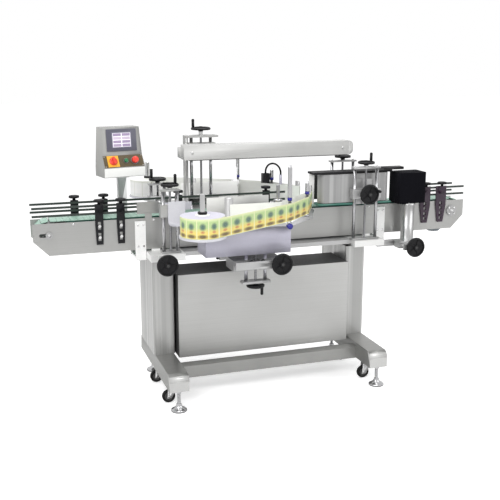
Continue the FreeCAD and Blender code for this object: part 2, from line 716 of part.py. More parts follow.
def guide_bracket(x):
    """Slotted bracket on the front side plate, its clamp knob, and the stubs to the bars.

    The outfeed ones are wider and narrow towards the bottom.
    """
    wide = x > OUTFEED_BRACKETS_FROM
    half = (OUTFEED_BRACKET_WIDTH if wide else GUIDE_BRACKET_WIDTH) / 2
    back = -CONVEYOR_SIDE
    y = (back - GUIDE_BRACKET_THICK, back)
    taper = half - GUIDE_BRACKET_WIDTH / 2 + 4
    outline = [(x - half + taper, GUIDE_BRACKET_BOTTOM), (x + half - taper, GUIDE_BRACKET_BOTTOM),
               (x + half, GUIDE_BRACKET_BOTTOM + 110), (x + half, GUIDE_BRACKET_TOP),
               (x - half, GUIDE_BRACKET_TOP), (x - half, GUIDE_BRACKET_BOTTOM + 110)]
    plate = prism([(a, 0, b) for a, b in outline], (0, y[0], 0), (0, GUIDE_BRACKET_THICK, 0))
    slots = [block((x - 9, x + 9), (y[0] - 1, y[1] + 1), (low, low + 48)) for low in (905, 970)]
    plate = cut(plate, slots)
    stubs = [block((x - 6, x + 6), (back, -GUIDE_Y - RAIL_BAR), (z - 5, z + 5)) for z in GUIDE_Z]
    bolts = [prism([(x + 9 * math.cos(a * math.pi / 3), 0, z + 9 * math.sin(a * math.pi / 3))
                    for a in range(6)], (0, y[0] - 6, 0), (0, GUIDE_BRACKET_THICK + 6, 0))
             for z in (928, 993)]
    head = block((x - 18, x + 18), (y[0] - 16, y[1]), (1072, GUIDE_BRACKET_TOP))
    knob = turned([(0, 0), (9, 0), (9, 14), (KNOB_RADIUS, 14), (KNOB_RADIUS, 27), (0, 27)],
                  (x, y[0] - 4, GUIDE_BRACKET_TOP))
    return [fuse([plate, head] + stubs), knob] + bolts


def guide_brackets():
    """All the brackets along both sides of the conveyor."""
    front = [s for x in FRONT_GUIDE_BRACKETS for s in guide_bracket(x)]
    rear = [mirrored(s) for x in REAR_GUIDE_BRACKETS for s in guide_bracket(x)]
    return front + rear


def operator_post():
    """Square post on two arms from the rear side plate, with a flange under the console."""
    x = (POST_X - POST_WIDTH / 2, POST_X + POST_WIDTH / 2)
    y = (POST_FRONT, POST_FRONT + POST_WIDTH)
    wall = 3
    tube = block(x, y, (POST_BOTTOM, CONSOLE_BOTTOM - 8))
    tube = tube.cut(block((x[0] + wall, x[1] - wall), (y[0] + wall, y[1] - wall),
                          (POST_BOTTOM, CONSOLE_BOTTOM - 8)))
    arms = [block(x, (CONVEYOR_SIDE, POST_FRONT), (low, low + 30)) for low in (870, 960)]
    flange = block((x[0] - 15, x[1] + 15), (y[0] - 15, y[1] + 15),
                   (CONSOLE_BOTTOM - 8, CONSOLE_BOTTOM))
    return [fuse([tube, flange] + arms)]


def console_profile():
    """Side outline of the console as (y, z) pairs: lip, sloped button panel, screen face."""
    return [(CONSOLE_BACK, CONSOLE_BOTTOM), (CONSOLE_LIP_Y, CONSOLE_BOTTOM),
            (CONSOLE_LIP_Y, CONSOLE_LIP_TOP), (CONSOLE_SLOPE_Y, CONSOLE_SLOPE_TOP),
            (CONSOLE_FACE_Y, CONSOLE_TOP), (CONSOLE_BACK, CONSOLE_TOP)]


def slope_frame():
    """Outward direction of the button panel, the way up it, and its middle height and depth."""
    rise = CONSOLE_SLOPE_TOP - CONSOLE_LIP_TOP
    depth = CONSOLE_SLOPE_Y - CONSOLE_LIP_Y
    length = math.hypot(rise, depth)
    out = (0, -rise / length, depth / length)
    middle = ((CONSOLE_LIP_Y + CONSOLE_SLOPE_Y) / 2, (CONSOLE_LIP_TOP + CONSOLE_SLOPE_TOP) / 2)
    return out, middle


def on_slope(x, out_by):
    """Point at the button panel's mid height, a distance out of its surface."""
    out, middle = slope_frame()
    return (x, middle[0] + out[1] * out_by, middle[1] + out[2] * out_by)


SWITCH_X = CONSOLE_X - 65
START_X = CONSOLE_X + 14
STOP_X = CONSOLE_X + 68


def screen_block(width, height, depth_in, depth_out):
    """Box set in the screen face, tilted as the face is."""
    rise, back = CONSOLE_TOP - CONSOLE_SLOPE_TOP, CONSOLE_FACE_Y - CONSOLE_SLOPE_Y
    tilt = math.degrees(math.atan2(back, rise))
    middle_y = (CONSOLE_FACE_Y + CONSOLE_SLOPE_Y) / 2 + SCREEN_RISE * back / rise
    middle_z = (CONSOLE_TOP + CONSOLE_SLOPE_TOP) / 2 + SCREEN_RISE
    body = block((-width / 2, width / 2), (-depth_out, depth_in), (-height / 2, height / 2))
    body.Placement = FreeCAD.Placement(Vector(CONSOLE_X, middle_y, middle_z),
                                       FreeCAD.Rotation(Vector(1, 0, 0), -tilt))
    return body


def console_taper(inset):
    """Front outline of the console, which narrows upwards, as a solid through its depth."""
    wide, narrow = CONSOLE_WIDTH / 2 - inset, CONSOLE_TOP_WIDTH / 2 - inset
    outline = [(-wide, CONSOLE_BOTTOM), (wide, CONSOLE_BOTTOM), (wide, CONSOLE_LIP_TOP),
               (narrow, CONSOLE_TOP), (-narrow, CONSOLE_TOP), (-wide, CONSOLE_LIP_TOP)]
    return prism([(x, 0, z) for x, z in outline], (CONSOLE_X, CONSOLE_LIP_Y - 1, 0),
                 (0, CONSOLE_BACK - CONSOLE_LIP_Y + 10, 0))


def turned_console(shapes):
    """The console's shapes, turned about the post."""
    middle = Vector(POST_X, POST_FRONT + POST_WIDTH / 2, 0)
    for shape in shapes:
        shape.rotate(middle, Vector(0, 0, 1), CONSOLE_TURN)
    return shapes


def operator_box():
    """Console case: a folded shell that is open behind, and its rear cover."""
    low, high = CONSOLE_X - CONSOLE_WIDTH / 2, CONSOLE_X + CONSOLE_WIDTH / 2
    wall = CONSOLE_WALL
    outer = prism([(low, y, z) for y, z in console_profile()], (0, 0, 0), (high - low, 0, 0))
    outer = outer.common(console_taper(0))
    face = Part.Face(Part.makePolygon([Vector(low + wall, y, z) for y, z in
                                       console_profile() + console_profile()[:1]]))
    inner = face.makeOffset2D(-wall).extrude(Vector(high - low - 2 * wall, 0, 0))
    inner = inner.common(console_taper(wall))
    open_back = block((low + wall, high - wall), (CONSOLE_BACK - 10, CONSOLE_BACK + 1),
                      (CONSOLE_BOTTOM + wall, CONSOLE_TOP - wall)).common(console_taper(wall))
    shell = cut(outer, [inner, open_back,
                        screen_block(SCREEN_WIDTH - 20, SCREEN_HEIGHT - 20, 20, 20)])
    for x, radius in ((SWITCH_X, 9), (START_X, 9), (STOP_X, 9)):
        shell = shell.cut(rod(on_slope(x, -20), on_slope(x, 20), radius + RUN))
    cover = block((low, high), (CONSOLE_BACK, CONSOLE_BACK + wall), (CONSOLE_BOTTOM, CONSOLE_TOP))
    cover = cover.common(console_taper(0))
    switch_plate = prism_on_slope(SWITCH_X, 34, 3).cut(
        rod(on_slope(SWITCH_X, -5), on_slope(SWITCH_X, 9), 9 + RUN))
    return [shell, cover, switch_plate]


def prism_on_slope(x, half, thick):
    """Square plate lying on the button panel."""
    out, middle = slope_frame()
    body = block((-half, half), (-half, half), (0, thick))
    body.Placement = FreeCAD.Placement(Vector(*on_slope(x, 0)),
                                       FreeCAD.Rotation(Vector(0, 0, 1), Vector(*out)))
    return body


def touch_screen():
    """Panel with a raised bezel and a body behind the face."""
    bezel = screen_block(SCREEN_WIDTH, SCREEN_HEIGHT, 0, 6)
    glass = screen_block(SCREEN_WIDTH * 0.62, SCREEN_HEIGHT * 0.66, 0, 7).cut(
        screen_block(SCREEN_WIDTH * 0.6, SCREEN_HEIGHT * 0.64, -4, 8))
    body = screen_block(SCREEN_WIDTH - 21, SCREEN_HEIGHT - 21, 30, 0)
    return [fuse([bezel, glass, body])]


def main_switch():
    """Rotary knob with a bar grip, on its spindle."""
    out, middle = slope_frame()
    knob = turned([(0, 3 + GAP), (24, 3 + GAP), (24, 11), (20, 14), (0, 14)],
                  on_slope(SWITCH_X, 0), out)
    bar = block((-6, 6), (-22, 22), (14, 26))
    bar.Placement = FreeCAD.Placement(Vector(*on_slope(SWITCH_X, 0)),
                                      FreeCAD.Rotation(Vector(0, 0, 1), Vector(*out)))
    spindle = rod(on_slope(SWITCH_X, -18), on_slope(SWITCH_X, 5), 9)
    return [fuse([knob, bar, spindle])]


def push_button(x, radius, height):
    """Button head, standing clear by its travel, with its plunger."""
    out, middle = slope_frame()
    head = turned([(0, 7), (radius, 7), (radius, height - 4), (radius - 4, height), (0, height)],
                  on_slope(x, 0), out)
    return [fuse([head, rod(on_slope(x, -22), on_slope(x, 8), 9)])]


def lift_posts(x, spread, top, y, float_by=0):
    """Two guide shafts between a foot plate and a top plate with a hole for the screw."""
    foot = COLUMN_TOP + BRIDGE_HEIGHT + float_by
    half = spread / 2 + LIFT_SHAFT + 6
    across = (y - LIFT_PLATE_HALF, y + LIFT_PLATE_HALF)
    hole = rod((x, y, foot + 3), (x, y, top + LIFT_PLATE + 1), LIFT_SCREW + RUN)
    parts = [block((x - half, x + half), across, (low, low + LIFT_PLATE)).cut(hole)
             for low in (foot, top)]
    for at in (x - spread / 2, x + spread / 2):
        parts.append(rod((at, y, foot + LIFT_PLATE), (at, y, top), LIFT_SHAFT))
    return parts


def lift_crank(x, top, y, handle):
    """Screw with the crank wheel on top of its lift unit."""
    foot = COLUMN_TOP + BRIDGE_HEIGHT
    head = top + LIFT_PLATE
    screw = rod((x, y, foot + 3 + GAP), (x, y, head + 20), LIFT_SCREW)
    collar = rod((x, y, head + GAP), (x, y, head + 10), 13)
    wheel = handwheel((x, y, head + 8), (0, 0, 1), CRANK_RADIUS, handle)
    return fuse([screw, collar, wheel])


def carriage_block(x, spread, y, z):
    """Block that slides on a lift unit's shafts."""
    half = spread / 2 + LIFT_SHAFT + 10
    body = block((x - half, x + half), (y - 22, y + 22), z)
    for at in (x - spread / 2, x + spread / 2):
        body = body.cut(rod((at, y, z[0] - 1), (at, y, z[1] + 1), LIFT_SHAFT + RUN))
    return body.cut(rod((x, y, z[0] - 1), (x, y, z[1] + 1), LIFT_SCREW + RUN))


def align_posts():
    """Front infeed lift unit, which slides on its bridge."""
    return lift_posts(ALIGN_X, ALIGN_SPREAD, ALIGN_TOP, -LIFT_Y, GAP)


def align_handwheel():
    """Handwheel with its screw, in a bearing block on the front of the bridge."""
    x, z = ALIGN_WHEEL
    screw = rod((x, -345, z), (x, BRIDGE_FRONT - 30 + 10, z), 8)
    return [fuse([screw, handwheel((x, -330, z), (0, -1, 0), WHEEL_RADIUS)])]


def handwheel_bearings():
    """Bearing blocks of the infeed handwheel and its clamp lever on the bridge's front."""
    x, z = ALIGN_WHEEL
    housing = block((x - 20, x + 20), (BRIDGE_FRONT - 30, BRIDGE_FRONT), (COLUMN_TOP - 6, COLUMN_TOP + BRIDGE_HEIGHT - 4))
    housing = housing.cut(rod((x, BRIDGE_FRONT - 31, z), (x, BRIDGE_FRONT - 5, z), 8 + RUN))
    lever = fuse([rod((x + 60, BRIDGE_FRONT, z), (x + 60, BRIDGE_FRONT - 30, z), 8),
                  rod((x + 60, BRIDGE_FRONT - 26, z), (x + 78, BRIDGE_FRONT - 40, z - 46), 6)])
    return [housing, lever]


def align_carriage():
    """Carriage with the white guard plate of the infeed aligner."""
    z = (1040, 1110)
    body = carriage_block(ALIGN_X, ALIGN_SPREAD, -LIFT_Y, z)
    near = -LIFT_Y - 22
    front = near - 5
    left, right, low = ALIGN_X - 19, ALIGN_X + 80, z[0] - 55
    guard = block((left, right), (front - 6, front), (low, z[1] + 20))
    guard = guard.makeFillet(30, edges_along(guard, (0, 1, 0),
                                             lambda c: c.x < left + 1 and c.z < low + 1))
    spacer = block((ALIGN_X - 15, ALIGN_X + 15), (front, near), z)
    arm = block((ALIGN_X - 30, ALIGN_X + 30), (-LIFT_Y + 22, -GUIDE_Y - 8), (z[0] + 24, z[0] + 54))
    shoe = block((ALIGN_X - 30, ALIGN_X + 150), (-GUIDE_Y - 8, -GUIDE_Y), (z[0] + 18, z[0] + 64))
    return [fuse([body, guard, spacer, arm, shoe])]


def lift_units():
    """Outfeed and rear infeed lift units, and the cranks, carriages and pads of the rear ones."""
    pad = block((PRESS_BELT_X[0] + 30, PRESS_BELT_X[1] - 20), (52, 82),
                (PRESS_BELT_Z[0] + 8, PRESS_BELT_Z[1] - 30))
    press = carriage_block(PRESS_X, PRESS_SPREAD, PRESS_Y, (1110, 1170))
    arm = block((PRESS_X - 40, PRESS_X + 40), (82, PRESS_Y - 22), (1120, 1160))
    infeed = carriage_block(ALIGN_X, ALIGN_SPREAD, LIFT_Y, (1040, 1110))
    hook = block((ALIGN_X - 30, ALIGN_X + 30), (GUIDE_Y + RAIL_BAR, LIFT_Y - 22), (1056, 1100))
    posts = (lift_posts(ALIGN_X, ALIGN_SPREAD, ALIGN_REAR_TOP, LIFT_Y)
             + lift_posts(PRESS_X, PRESS_SPREAD, PRESS_TOP, -PRESS_Y)
             + lift_posts(PRESS_X, PRESS_SPREAD, PRESS_TOP, PRESS_Y))
    return posts + [lift_crank(ALIGN_X, ALIGN_REAR_TOP, LIFT_Y, math.pi * 0.8),
                    lift_crank(PRESS_X, PRESS_TOP, PRESS_Y, math.pi * 1.2),
                    fuse([press, arm, pad]), fuse([infeed, hook])]


def hold_frame():
    """Lift frame of the top belt: foot, side plates, tie plate, two shafts and a top plate."""
    foot = COLUMN_TOP + BRIDGE_HEIGHT
    side = 14
    inside = (HOLD_X[0] + side, HOLD_X[1] - side)
    middle = (HOLD_Y[0] + HOLD_Y[1]) / 2
    hole = rod((HOLD_SCREW_X, middle, 1090), (HOLD_SCREW_X, middle, HOLD_TOP + 1),
               LIFT_SCREW + RUN)
    parts = [block(HOLD_X, HOLD_Y, (foot, foot + 20)),
             block((HOLD_X[0], inside[0]), HOLD_Y, (foot + 20, HOLD_TOP - HOLD_PLATE)),
             block(HOLD_X, HOLD_Y, (HOLD_TOP - HOLD_PLATE, HOLD_TOP)).cut(hole),
             block(inside, (HOLD_Y[1] - 10, HOLD_Y[1]), (foot + 20, 1085))]
    tie = block((inside[0], HOLD_X[1]), HOLD_Y, (1085, 1100)).cut(hole)
    for x in HOLD_SHAFTS:
        parts.append(rod((x, middle, foot + 20), (x, middle, 1085), LIFT_SHAFT))
        parts.append(rod((x, middle, 1100), (x, middle, HOLD_TOP - HOLD_PLATE), LIFT_SHAFT))
    return parts + [tie]


def hold_crank():
    """Screw and crank wheel on the lift frame's top plate."""
    middle = (HOLD_Y[0] + HOLD_Y[1]) / 2
    screw = rod((HOLD_SCREW_X, middle, 1090 + GAP), (HOLD_SCREW_X, middle, HOLD_TOP + 37),
                LIFT_SCREW)
    collar = rod((HOLD_SCREW_X, middle, HOLD_TOP + GAP), (HOLD_SCREW_X, middle, HOLD_TOP + 24), 13)
    wheel = handwheel((HOLD_SCREW_X, middle, HOLD_TOP + 22), (0, 0, 1), CRANK_RADIUS + 8,
                      math.pi * 0.95)
    return [fuse([screw, collar, wheel])]


def hold_beam():
    """Inverted channel beam with a rounded outfeed end, its infeed cap, pulleys and carriage."""
    y = (-BEAM_HALF, BEAM_HALF)
    shell = block(BEAM_X, y, BEAM_Z)
    ends = edges_along(shell, (0, 1, 0), lambda c: c.x > BEAM_X[1] - 1)
    shell = shell.makeFillet(28, ends)
    inner = block((BEAM_X[0] + BEAM_WALL, BEAM_X[1] - BEAM_WALL),
                  (y[0] + BEAM_WALL, y[1] - BEAM_WALL), (BEAM_Z[0], BEAM_Z[1] - BEAM_WALL))
    shell = shell.cut(inner)
    middle = (HOLD_Y[0] + HOLD_Y[1]) / 2
    grip_z = (BEAM_Z[0] + 10, BEAM_Z[1] - 5)
    inside = (HOLD_X[0] + 18, HOLD_X[1] - 18)
    grip = block(inside, (HOLD_Y[0] - 2, middle + 24), grip_z)
    for x in HOLD_SHAFTS:
        grip = grip.cut(rod((x, middle, grip_z[0] - 1), (x, middle, grip_z[1] + 1),
                            LIFT_SHAFT + RUN))
    grip = grip.cut(rod((HOLD_SCREW_X, middle, grip_z[0] - 1), (HOLD_SCREW_X, middle,
                                                                grip_z[1] + 1), LIFT_SCREW + RUN))
    arm = block((inside[0] + 20, inside[1] - 20), (BEAM_HALF, HOLD_Y[0] - 2), grip_z)
    cap = block((BEAM_X[0] - 22, BEAM_X[0]), (-BEAM_HALF + 10, BEAM_HALF - 10),
                (BEAM_Z[0] + 12, BEAM_Z[1] - 14))
    parts = [fuse([shell, arm, grip, cap])]
    z = belt_centre()
    for x in belt_ends():
        parts.append(rod((x, -BELT_HALF, z), (x, BELT_HALF, z), PULLEY_RADIUS - GAP))
        parts.append(rod((x, BELT_HALF, z), (x, BEAM_HALF - BEAM_WALL, z), 8))
        parts.append(rod((x, BEAM_WALL - BEAM_HALF, z), (x, -BELT_HALF, z), 8))
    return parts


def belt_centre():
    """Height of the hold-down belt's pulleys."""
    return BEAM_Z[0] - BELT_DROP + BELT_THICK + PULLEY_RADIUS


def belt_ends():
    """Middles of the hold-down belt's two pulleys."""
    room = PULLEY_RADIUS + BELT_THICK + 8
    return BEAM_X[0] + room, BEAM_X[1] - room - 14


def belt_loop(ends, centre, radius, thick, half, axis_y=True):
    """Endless belt round two equal pulleys whose axes lie along Y."""
    z = centre

    def stadium(r):
        body = block(ends, (-half, half), (z - r, z + r))
        return fuse([body] + [rod((x, -half, z), (x, half, z), r) for x in ends])

    return stadium(radius + thick).cut(stadium(radius))


def hold_belt():
    """Flat belt round the beam's pulleys; its lower run stands out below the beam."""
    return [belt_loop(belt_ends(), belt_centre(), PULLEY_RADIUS, BELT_THICK, BELT_HALF)]


def slide_base():
    """Fixed saddle of the front label head: table bracket, two shafts and an end plate."""
    root = (TABLE_FRONT - 40, TABLE_FRONT)
    top = COLUMN_TOP + BRIDGE_HEIGHT
    x = (SLIDE_SHAFTS[0] - 30, SLIDE_SCREW_X + 30)
    end = (SLIDE_END - 12, SLIDE_END)
    hole = rod((SLIDE_SCREW_X, SLIDE_END - 13, SLIDE_Z), (SLIDE_SCREW_X, root[0] + 10, SLIDE_Z),
               8 + RUN)
    parts = [block(x, root, (SLIDE_Z - 35, top)).cut(hole),
             block(x, end, (SLIDE_Z - 22, SLIDE_Z + 22)).cut(hole)]
    for at in SLIDE_SHAFTS:
        parts.append(rod((at, SLIDE_END, SLIDE_Z), (at, root[0], SLIDE_Z), SLIDE_SHAFT))
    return parts


def roller_base():
    """Bracket of the foam roller's slide: arm from the conveyor support, two shafts, end plate."""
    z = ROLLER_Z
    back = -CONVEYOR_SIDE - SUPPORT_SHEET
    front = back - 24
    arm = block((SUPPORT_X - 25, ROLLER_SHAFTS[1] + 16), (front, back), (z - 18, z + 20))
    end = block((ROLLER_SHAFTS[0] - 16, ROLLER_SHAFTS[1] + 16), (ROLLER_END, ROLLER_END + 12),
                (z - 18, z + 18))
    shafts = [rod((x, ROLLER_END + 12, z), (x, front, z), 9) for x in ROLLER_SHAFTS]
    hole = rod((ROLLER_X, ROLLER_END - 1, z), (ROLLER_X, back - 14, z), 8 + RUN)
    return [arm.cut(hole), end.cut(hole)] + shafts


def slide_bases():
    """Fixed saddles of both label heads, of the foam roller and of the infeed handwheel."""
    rear = [mirrored(solid) for solid in slide_base()]
    return slide_base() + rear + roller_base() + handwheel_bearings()


def head_handwheel():
    """Handwheel and screw that move the front head across the table."""
    screw = rod((SLIDE_SCREW_X, SLIDE_END - 30, SLIDE_Z),
                (SLIDE_SCREW_X, TABLE_FRONT - 40 + 9, SLIDE_Z), 8)
    wheel = handwheel((SLIDE_SCREW_X, SLIDE_END - 12 - 2, SLIDE_Z), (0, -1, 0), WHEEL_RADIUS)
    return [fuse([screw, wheel])]


def head_carriage():
    """Two blocks on the saddle's shafts, bored for the head's upright shafts, and their link.

    The link stands behind the head's screw, which passes between the blocks.
    """
    x = (SLIDE_SHAFTS[0] - 28, SLIDE_SCREW_X + 22)
    inner = (ADJUST_SCREW_X - SCREW_ROOM, ADJUST_SCREW_X + SCREW_ROOM)
    holes = []
    for at in SLIDE_SHAFTS:
        holes.append(rod((at, CARRIAGE_Y[0] - 1, SLIDE_Z), (at, CARRIAGE_Y[1] + 1, SLIDE_Z),
                         SLIDE_SHAFT + RUN))
    holes.append(rod((SLIDE_SCREW_X, CARRIAGE_Y[0] - 1, SLIDE_Z),
                     (SLIDE_SCREW_X, CARRIAGE_Y[1] + 1, SLIDE_Z), 8 + RUN))
    for at in ADJUST_SHAFTS:
        holes.append(rod((at, ADJUST_Y, CARRIAGE_Z[0] - 1), (at, ADJUST_Y, CARRIAGE_Z[1] + 1),
                         LIFT_SHAFT + RUN))
    blocks = [cut(block((x[0], inner[0]), CARRIAGE_Y, CARRIAGE_Z), holes),
              cut(block((inner[1], x[1]), CARRIAGE_Y, CARRIAGE_Z), holes),
              block(inner, (ADJUST_Y + SCREW_ROOM, CARRIAGE_Y[1]), CARRIAGE_Z)]
    knobs = [turned([(0, 0), (5, 0), (5, 5), (13, 5), (13, 14), (0, 14)],
                    (at, CARRIAGE_Y[0], SLIDE_Z + 10), (0, -1, 0)) for at in (-225, -158)]
    return blocks + knobs


def head_crank():
    """Crank and screw under the head's bottom plate."""
    low = ADJUST_BOTTOM
    screw = rod((ADJUST_SCREW_X, ADJUST_Y, low - 18),
                (ADJUST_SCREW_X, ADJUST_Y, HEAD_BOTTOM - 3), LIFT_SCREW)
    wheel = handwheel((ADJUST_SCREW_X, ADJUST_Y, low - GAP), (0, 0, -1), CRANK_RADIUS, math.pi)
    return [fuse([screw, wheel])]


def deck_outline():
    """Plan of the label head's deck, from the reel arm to the peel edge."""
    return [(-488, -288), (-560, -480), (-632, -640), (-640, -720), (-590, -765), (-520, -760),
            (-480, -680), (-430, -494), (-60, -494), (-30, -505), (10, -500), (208, -322),
            (300, -120), (300, -94), (255, -94), (20, -288)]


def head_body():
    """Head case with its deck, bottom plate, upright shafts, guide posts and liner rewinder."""
    wall = 3
    case = block(HEAD_X, (HEAD_FRONT, HEAD_BACK), (HEAD_BOTTOM, DECK_BOTTOM))
    case = case.makeFillet(6, edges_along(case, (0, 0, 1), lambda c: True))
    case = case.cut(block((HEAD_X[0] + wall, HEAD_X[1] - wall), (HEAD_FRONT + wall, HEAD_BACK - wall),
                          (HEAD_BOTTOM + wall, DECK_BOTTOM)))
    deck_top = DECK_BOTTOM + DECK_THICK
    deck = plan(deck_outline(), DECK_BOTTOM, deck_top)
    bottom = block((ADJUST_SHAFTS[0] - 26, ADJUST_SHAFTS[1] + 26), (ADJUST_Y - 28, ADJUST_Y + 28),
                   (ADJUST_BOTTOM, ADJUST_BOTTOM + ADJUST_PLATE))
    bottom = bottom.cut(rod((ADJUST_SCREW_X, ADJUST_Y, ADJUST_BOTTOM - 1),
                            (ADJUST_SCREW_X, ADJUST_Y, ADJUST_BOTTOM + ADJUST_PLATE + 1),
                            LIFT_SCREW + RUN))
    shafts = [rod((x, ADJUST_Y, ADJUST_BOTTOM + ADJUST_PLATE), (x, ADJUST_Y, HEAD_BOTTOM),
                  LIFT_SHAFT) for x in ADJUST_SHAFTS]
    spindle_hole = rod((*REEL_CENTRE, DECK_BOTTOM - 1), (*REEL_CENTRE, deck_top + 1), 15 + RUN)
    roller_hole = rod((*DRIVE_ROLLER_AT, DECK_BOTTOM - 11), (*DRIVE_ROLLER_AT, deck_top + 1),
                      8 + RUN)
    parts = [case, cut(deck, [spindle_hole, roller_hole]), bottom] + shafts
    top = ROLL_BOTTOM + LABEL_HEIGHT
    for at, height in ((POST_ONE, POST_ONE_TOP), (POST_TWO, POST_TWO_TOP)):
        parts.append(turned([(0, 0), (14, 0), (14, 10), (GUIDE_POST, 10),
                             (GUIDE_POST, top - deck_top + 14), (13, top - deck_top + 14),
                             (13, top - deck_top + 30), (7, top - deck_top + 30),
                             (7, height - deck_top), (0, height - deck_top)],
                            (*at, deck_top)))
    parts.append(turned([(0, 0), (6, 0), (6, 4), (16, 4), (16, 18), (0, 18)],
                        (POST_ONE[0] - 10, -501.5, deck_top - 8), (0, -1, 0)))
    parts.append(block((REWIND_AT[0] - 100, DRIVE_ROLLER_AT[0] - 19), (HEAD_BACK + 4, HEAD_BACK + 8),
                       (deck_top, BACK_PLATE_TOP)))
    parts.append(turned([(0, 0), (52, 0), (52, 6), (SPOOL_RADIUS, 6), (SPOOL_RADIUS, 150),
                         (12, 154), (0, 154)], (*REWIND_AT, deck_top)))
    motor_at = (-140.0, -330.0)
    parts.append(turned([(0, 0), (30, 0), (30, 90), (12, 96), (0, 96)], (*motor_at, deck_top)))
    bar = block((-PEEL_BAR, PEEL_NOSE), (-PEEL_NOSE, PEEL_NOSE), (deck_top, top + 30))
    bar = bar.makeFillet(PEEL_NOSE - GAP, edges_along(bar, (0, 0, 1), lambda c: c.x > 0))
    bar.Placement = FreeCAD.Placement(Vector(*PEEL_TIP, 0),
                                      FreeCAD.Rotation(Vector(0, 0, 1), PEEL_ANGLE))
    parts.append(bar)
    return parts


def label_roll():
    """Reel: flange, spindle and the wound roll of labels."""
    flange_low = DECK_BOTTOM + DECK_THICK + 2
    at = (*REEL_CENTRE, 0)
    hub = turned([(0, DECK_BOTTOM - 12), (15, DECK_BOTTOM - 12), (15, flange_low),
                  (REEL_FLANGE, flange_low), (REEL_FLANGE, ROLL_BOTTOM - GAP),
                  (ROLL_CORE - GAP, ROLL_BOTTOM - GAP),
                  (ROLL_CORE - GAP, ROLL_BOTTOM + LABEL_HEIGHT + 4),
                  (14, ROLL_BOTTOM + LABEL_HEIGHT + 8), (14, ROLL_BOTTOM + LABEL_HEIGHT + 112),
                  (0, ROLL_BOTTOM + LABEL_HEIGHT + 112)], at)
    roll = ring((*REEL_CENTRE, ROLL_BOTTOM), (*REEL_CENTRE, ROLL_BOTTOM + LABEL_HEIGHT),
                ROLL_RADIUS, ROLL_CORE)
    return [hub, roll]


def tangent(a, b):
    """Directions from two wheels' centres to the strip that runs from one to the other.

    A wheel is (centre, radius, side): side 1 if it is left of the strip, -1 if it is right.
    """
    (ax, ay), ra, sa = a
    (bx, by), rb, sb = b
    distance = math.hypot(bx - ax, by - ay)
    heading = math.atan2(by - ay, bx - ax) + math.asin((sb * rb - sa * ra) / -distance)
    right = heading - math.pi / 2
    return (right if sa > 0 else right + math.pi), (right if sb > 0 else right + math.pi)


def ribbon(wheels):
    """Upright strip of even thickness that runs round a row of wheels, a little clear of them."""
    joins = [tangent(a, b) for a, b in zip(wheels, wheels[1:])]
    left, right = [], []
    for index, (centre, radius, side) in enumerate(wheels):
        start = joins[index - 1][1] if index else joins[0][0]
        end = joins[index][0] if index < len(joins) else start
        sweep = (end - start) % (2 * math.pi) if side > 0 else -((start - end) % (2 * math.pi))
        if abs(sweep) > math.pi * 1.9:
            sweep = 0
        steps = max(1, round(abs(sweep) / WRAP_STEP))
        for step in range(steps + 1 if sweep else 1):
            angle = start + sweep * step / steps
            near = (centre[0] + (radius - WEB_THICK / 2) * math.cos(angle),
                    centre[1] + (radius - WEB_THICK / 2) * math.sin(angle))
            far = (centre[0] + (radius + WEB_THICK / 2) * math.cos(angle),
                   centre[1] + (radius + WEB_THICK / 2) * math.sin(angle))
            left.append(near if side > 0 else far)
            right.append(far if side > 0 else near)
    return plan(left + right[::-1], ROLL_BOTTOM + 1, ROLL_BOTTOM + LABEL_HEIGHT - 1)


def label_web():
    """Label strip from the roll round two posts and the peel edge, and the liner going back."""
    clear = GAP + WEB_THICK / 2
    wheels = [(REEL_CENTRE, ROLL_RADIUS + clear, 1), (POST_ONE, GUIDE_POST + clear, 1),
              (POST_TWO, GUIDE_POST + clear, 1), (PEEL_TIP, PEEL_NOSE + clear + GAP, 1),
              (DRIVE_ROLLER_AT, DRIVE_ROLLER + clear, -1), (REWIND_AT, SPOOL_RADIUS + clear, -1)]
    return [ribbon(wheels)]


def drive_roller():
    """Polished traction roller on its shaft."""
    deck_top = DECK_BOTTOM + DECK_THICK
    top = ROLL_BOTTOM + LABEL_HEIGHT
    return [turned([(0, DECK_BOTTOM - 10), (8, DECK_BOTTOM - 10), (8, deck_top + GAP),
                    (DRIVE_ROLLER, deck_top + GAP), (DRIVE_ROLLER, top + 10), (10, top + 14),
                    (10, top + 94), (0, top + 94)], (*DRIVE_ROLLER_AT, 0))]


def press_carriage():
    """Carriage of the front outfeed lift unit, with the boss of its handwheel."""
    z = (1086, 1146)
    body = carriage_block(PRESS_X, PRESS_SPREAD, -PRESS_Y, z)
    x = PRESS_X
    boss = block((x - 30, x + 30), (-PRESS_Y - 42, -PRESS_Y - 22), (z[0] + 6, z[1] - 6))
    boss = boss.cut(rod((x, -PRESS_Y - 43, PRESS_WHEEL_Z), (x, -PRESS_Y - 24, PRESS_WHEEL_Z),
                        8 + RUN))
    return [fuse([body, boss])]


def press_handwheel():
    """Handwheel with a side handle that moves the belt unit in and out."""
    x, z = PRESS_X, PRESS_WHEEL_Z
    screw = rod((x, -PRESS_Y - 60, z), (x, -PRESS_Y - 25, z), 8)
    wheel = handwheel((x, -PRESS_Y - 44, z), (0, -1, 0), WHEEL_RADIUS, 0.5)
    return [fuse([screw, wheel])]


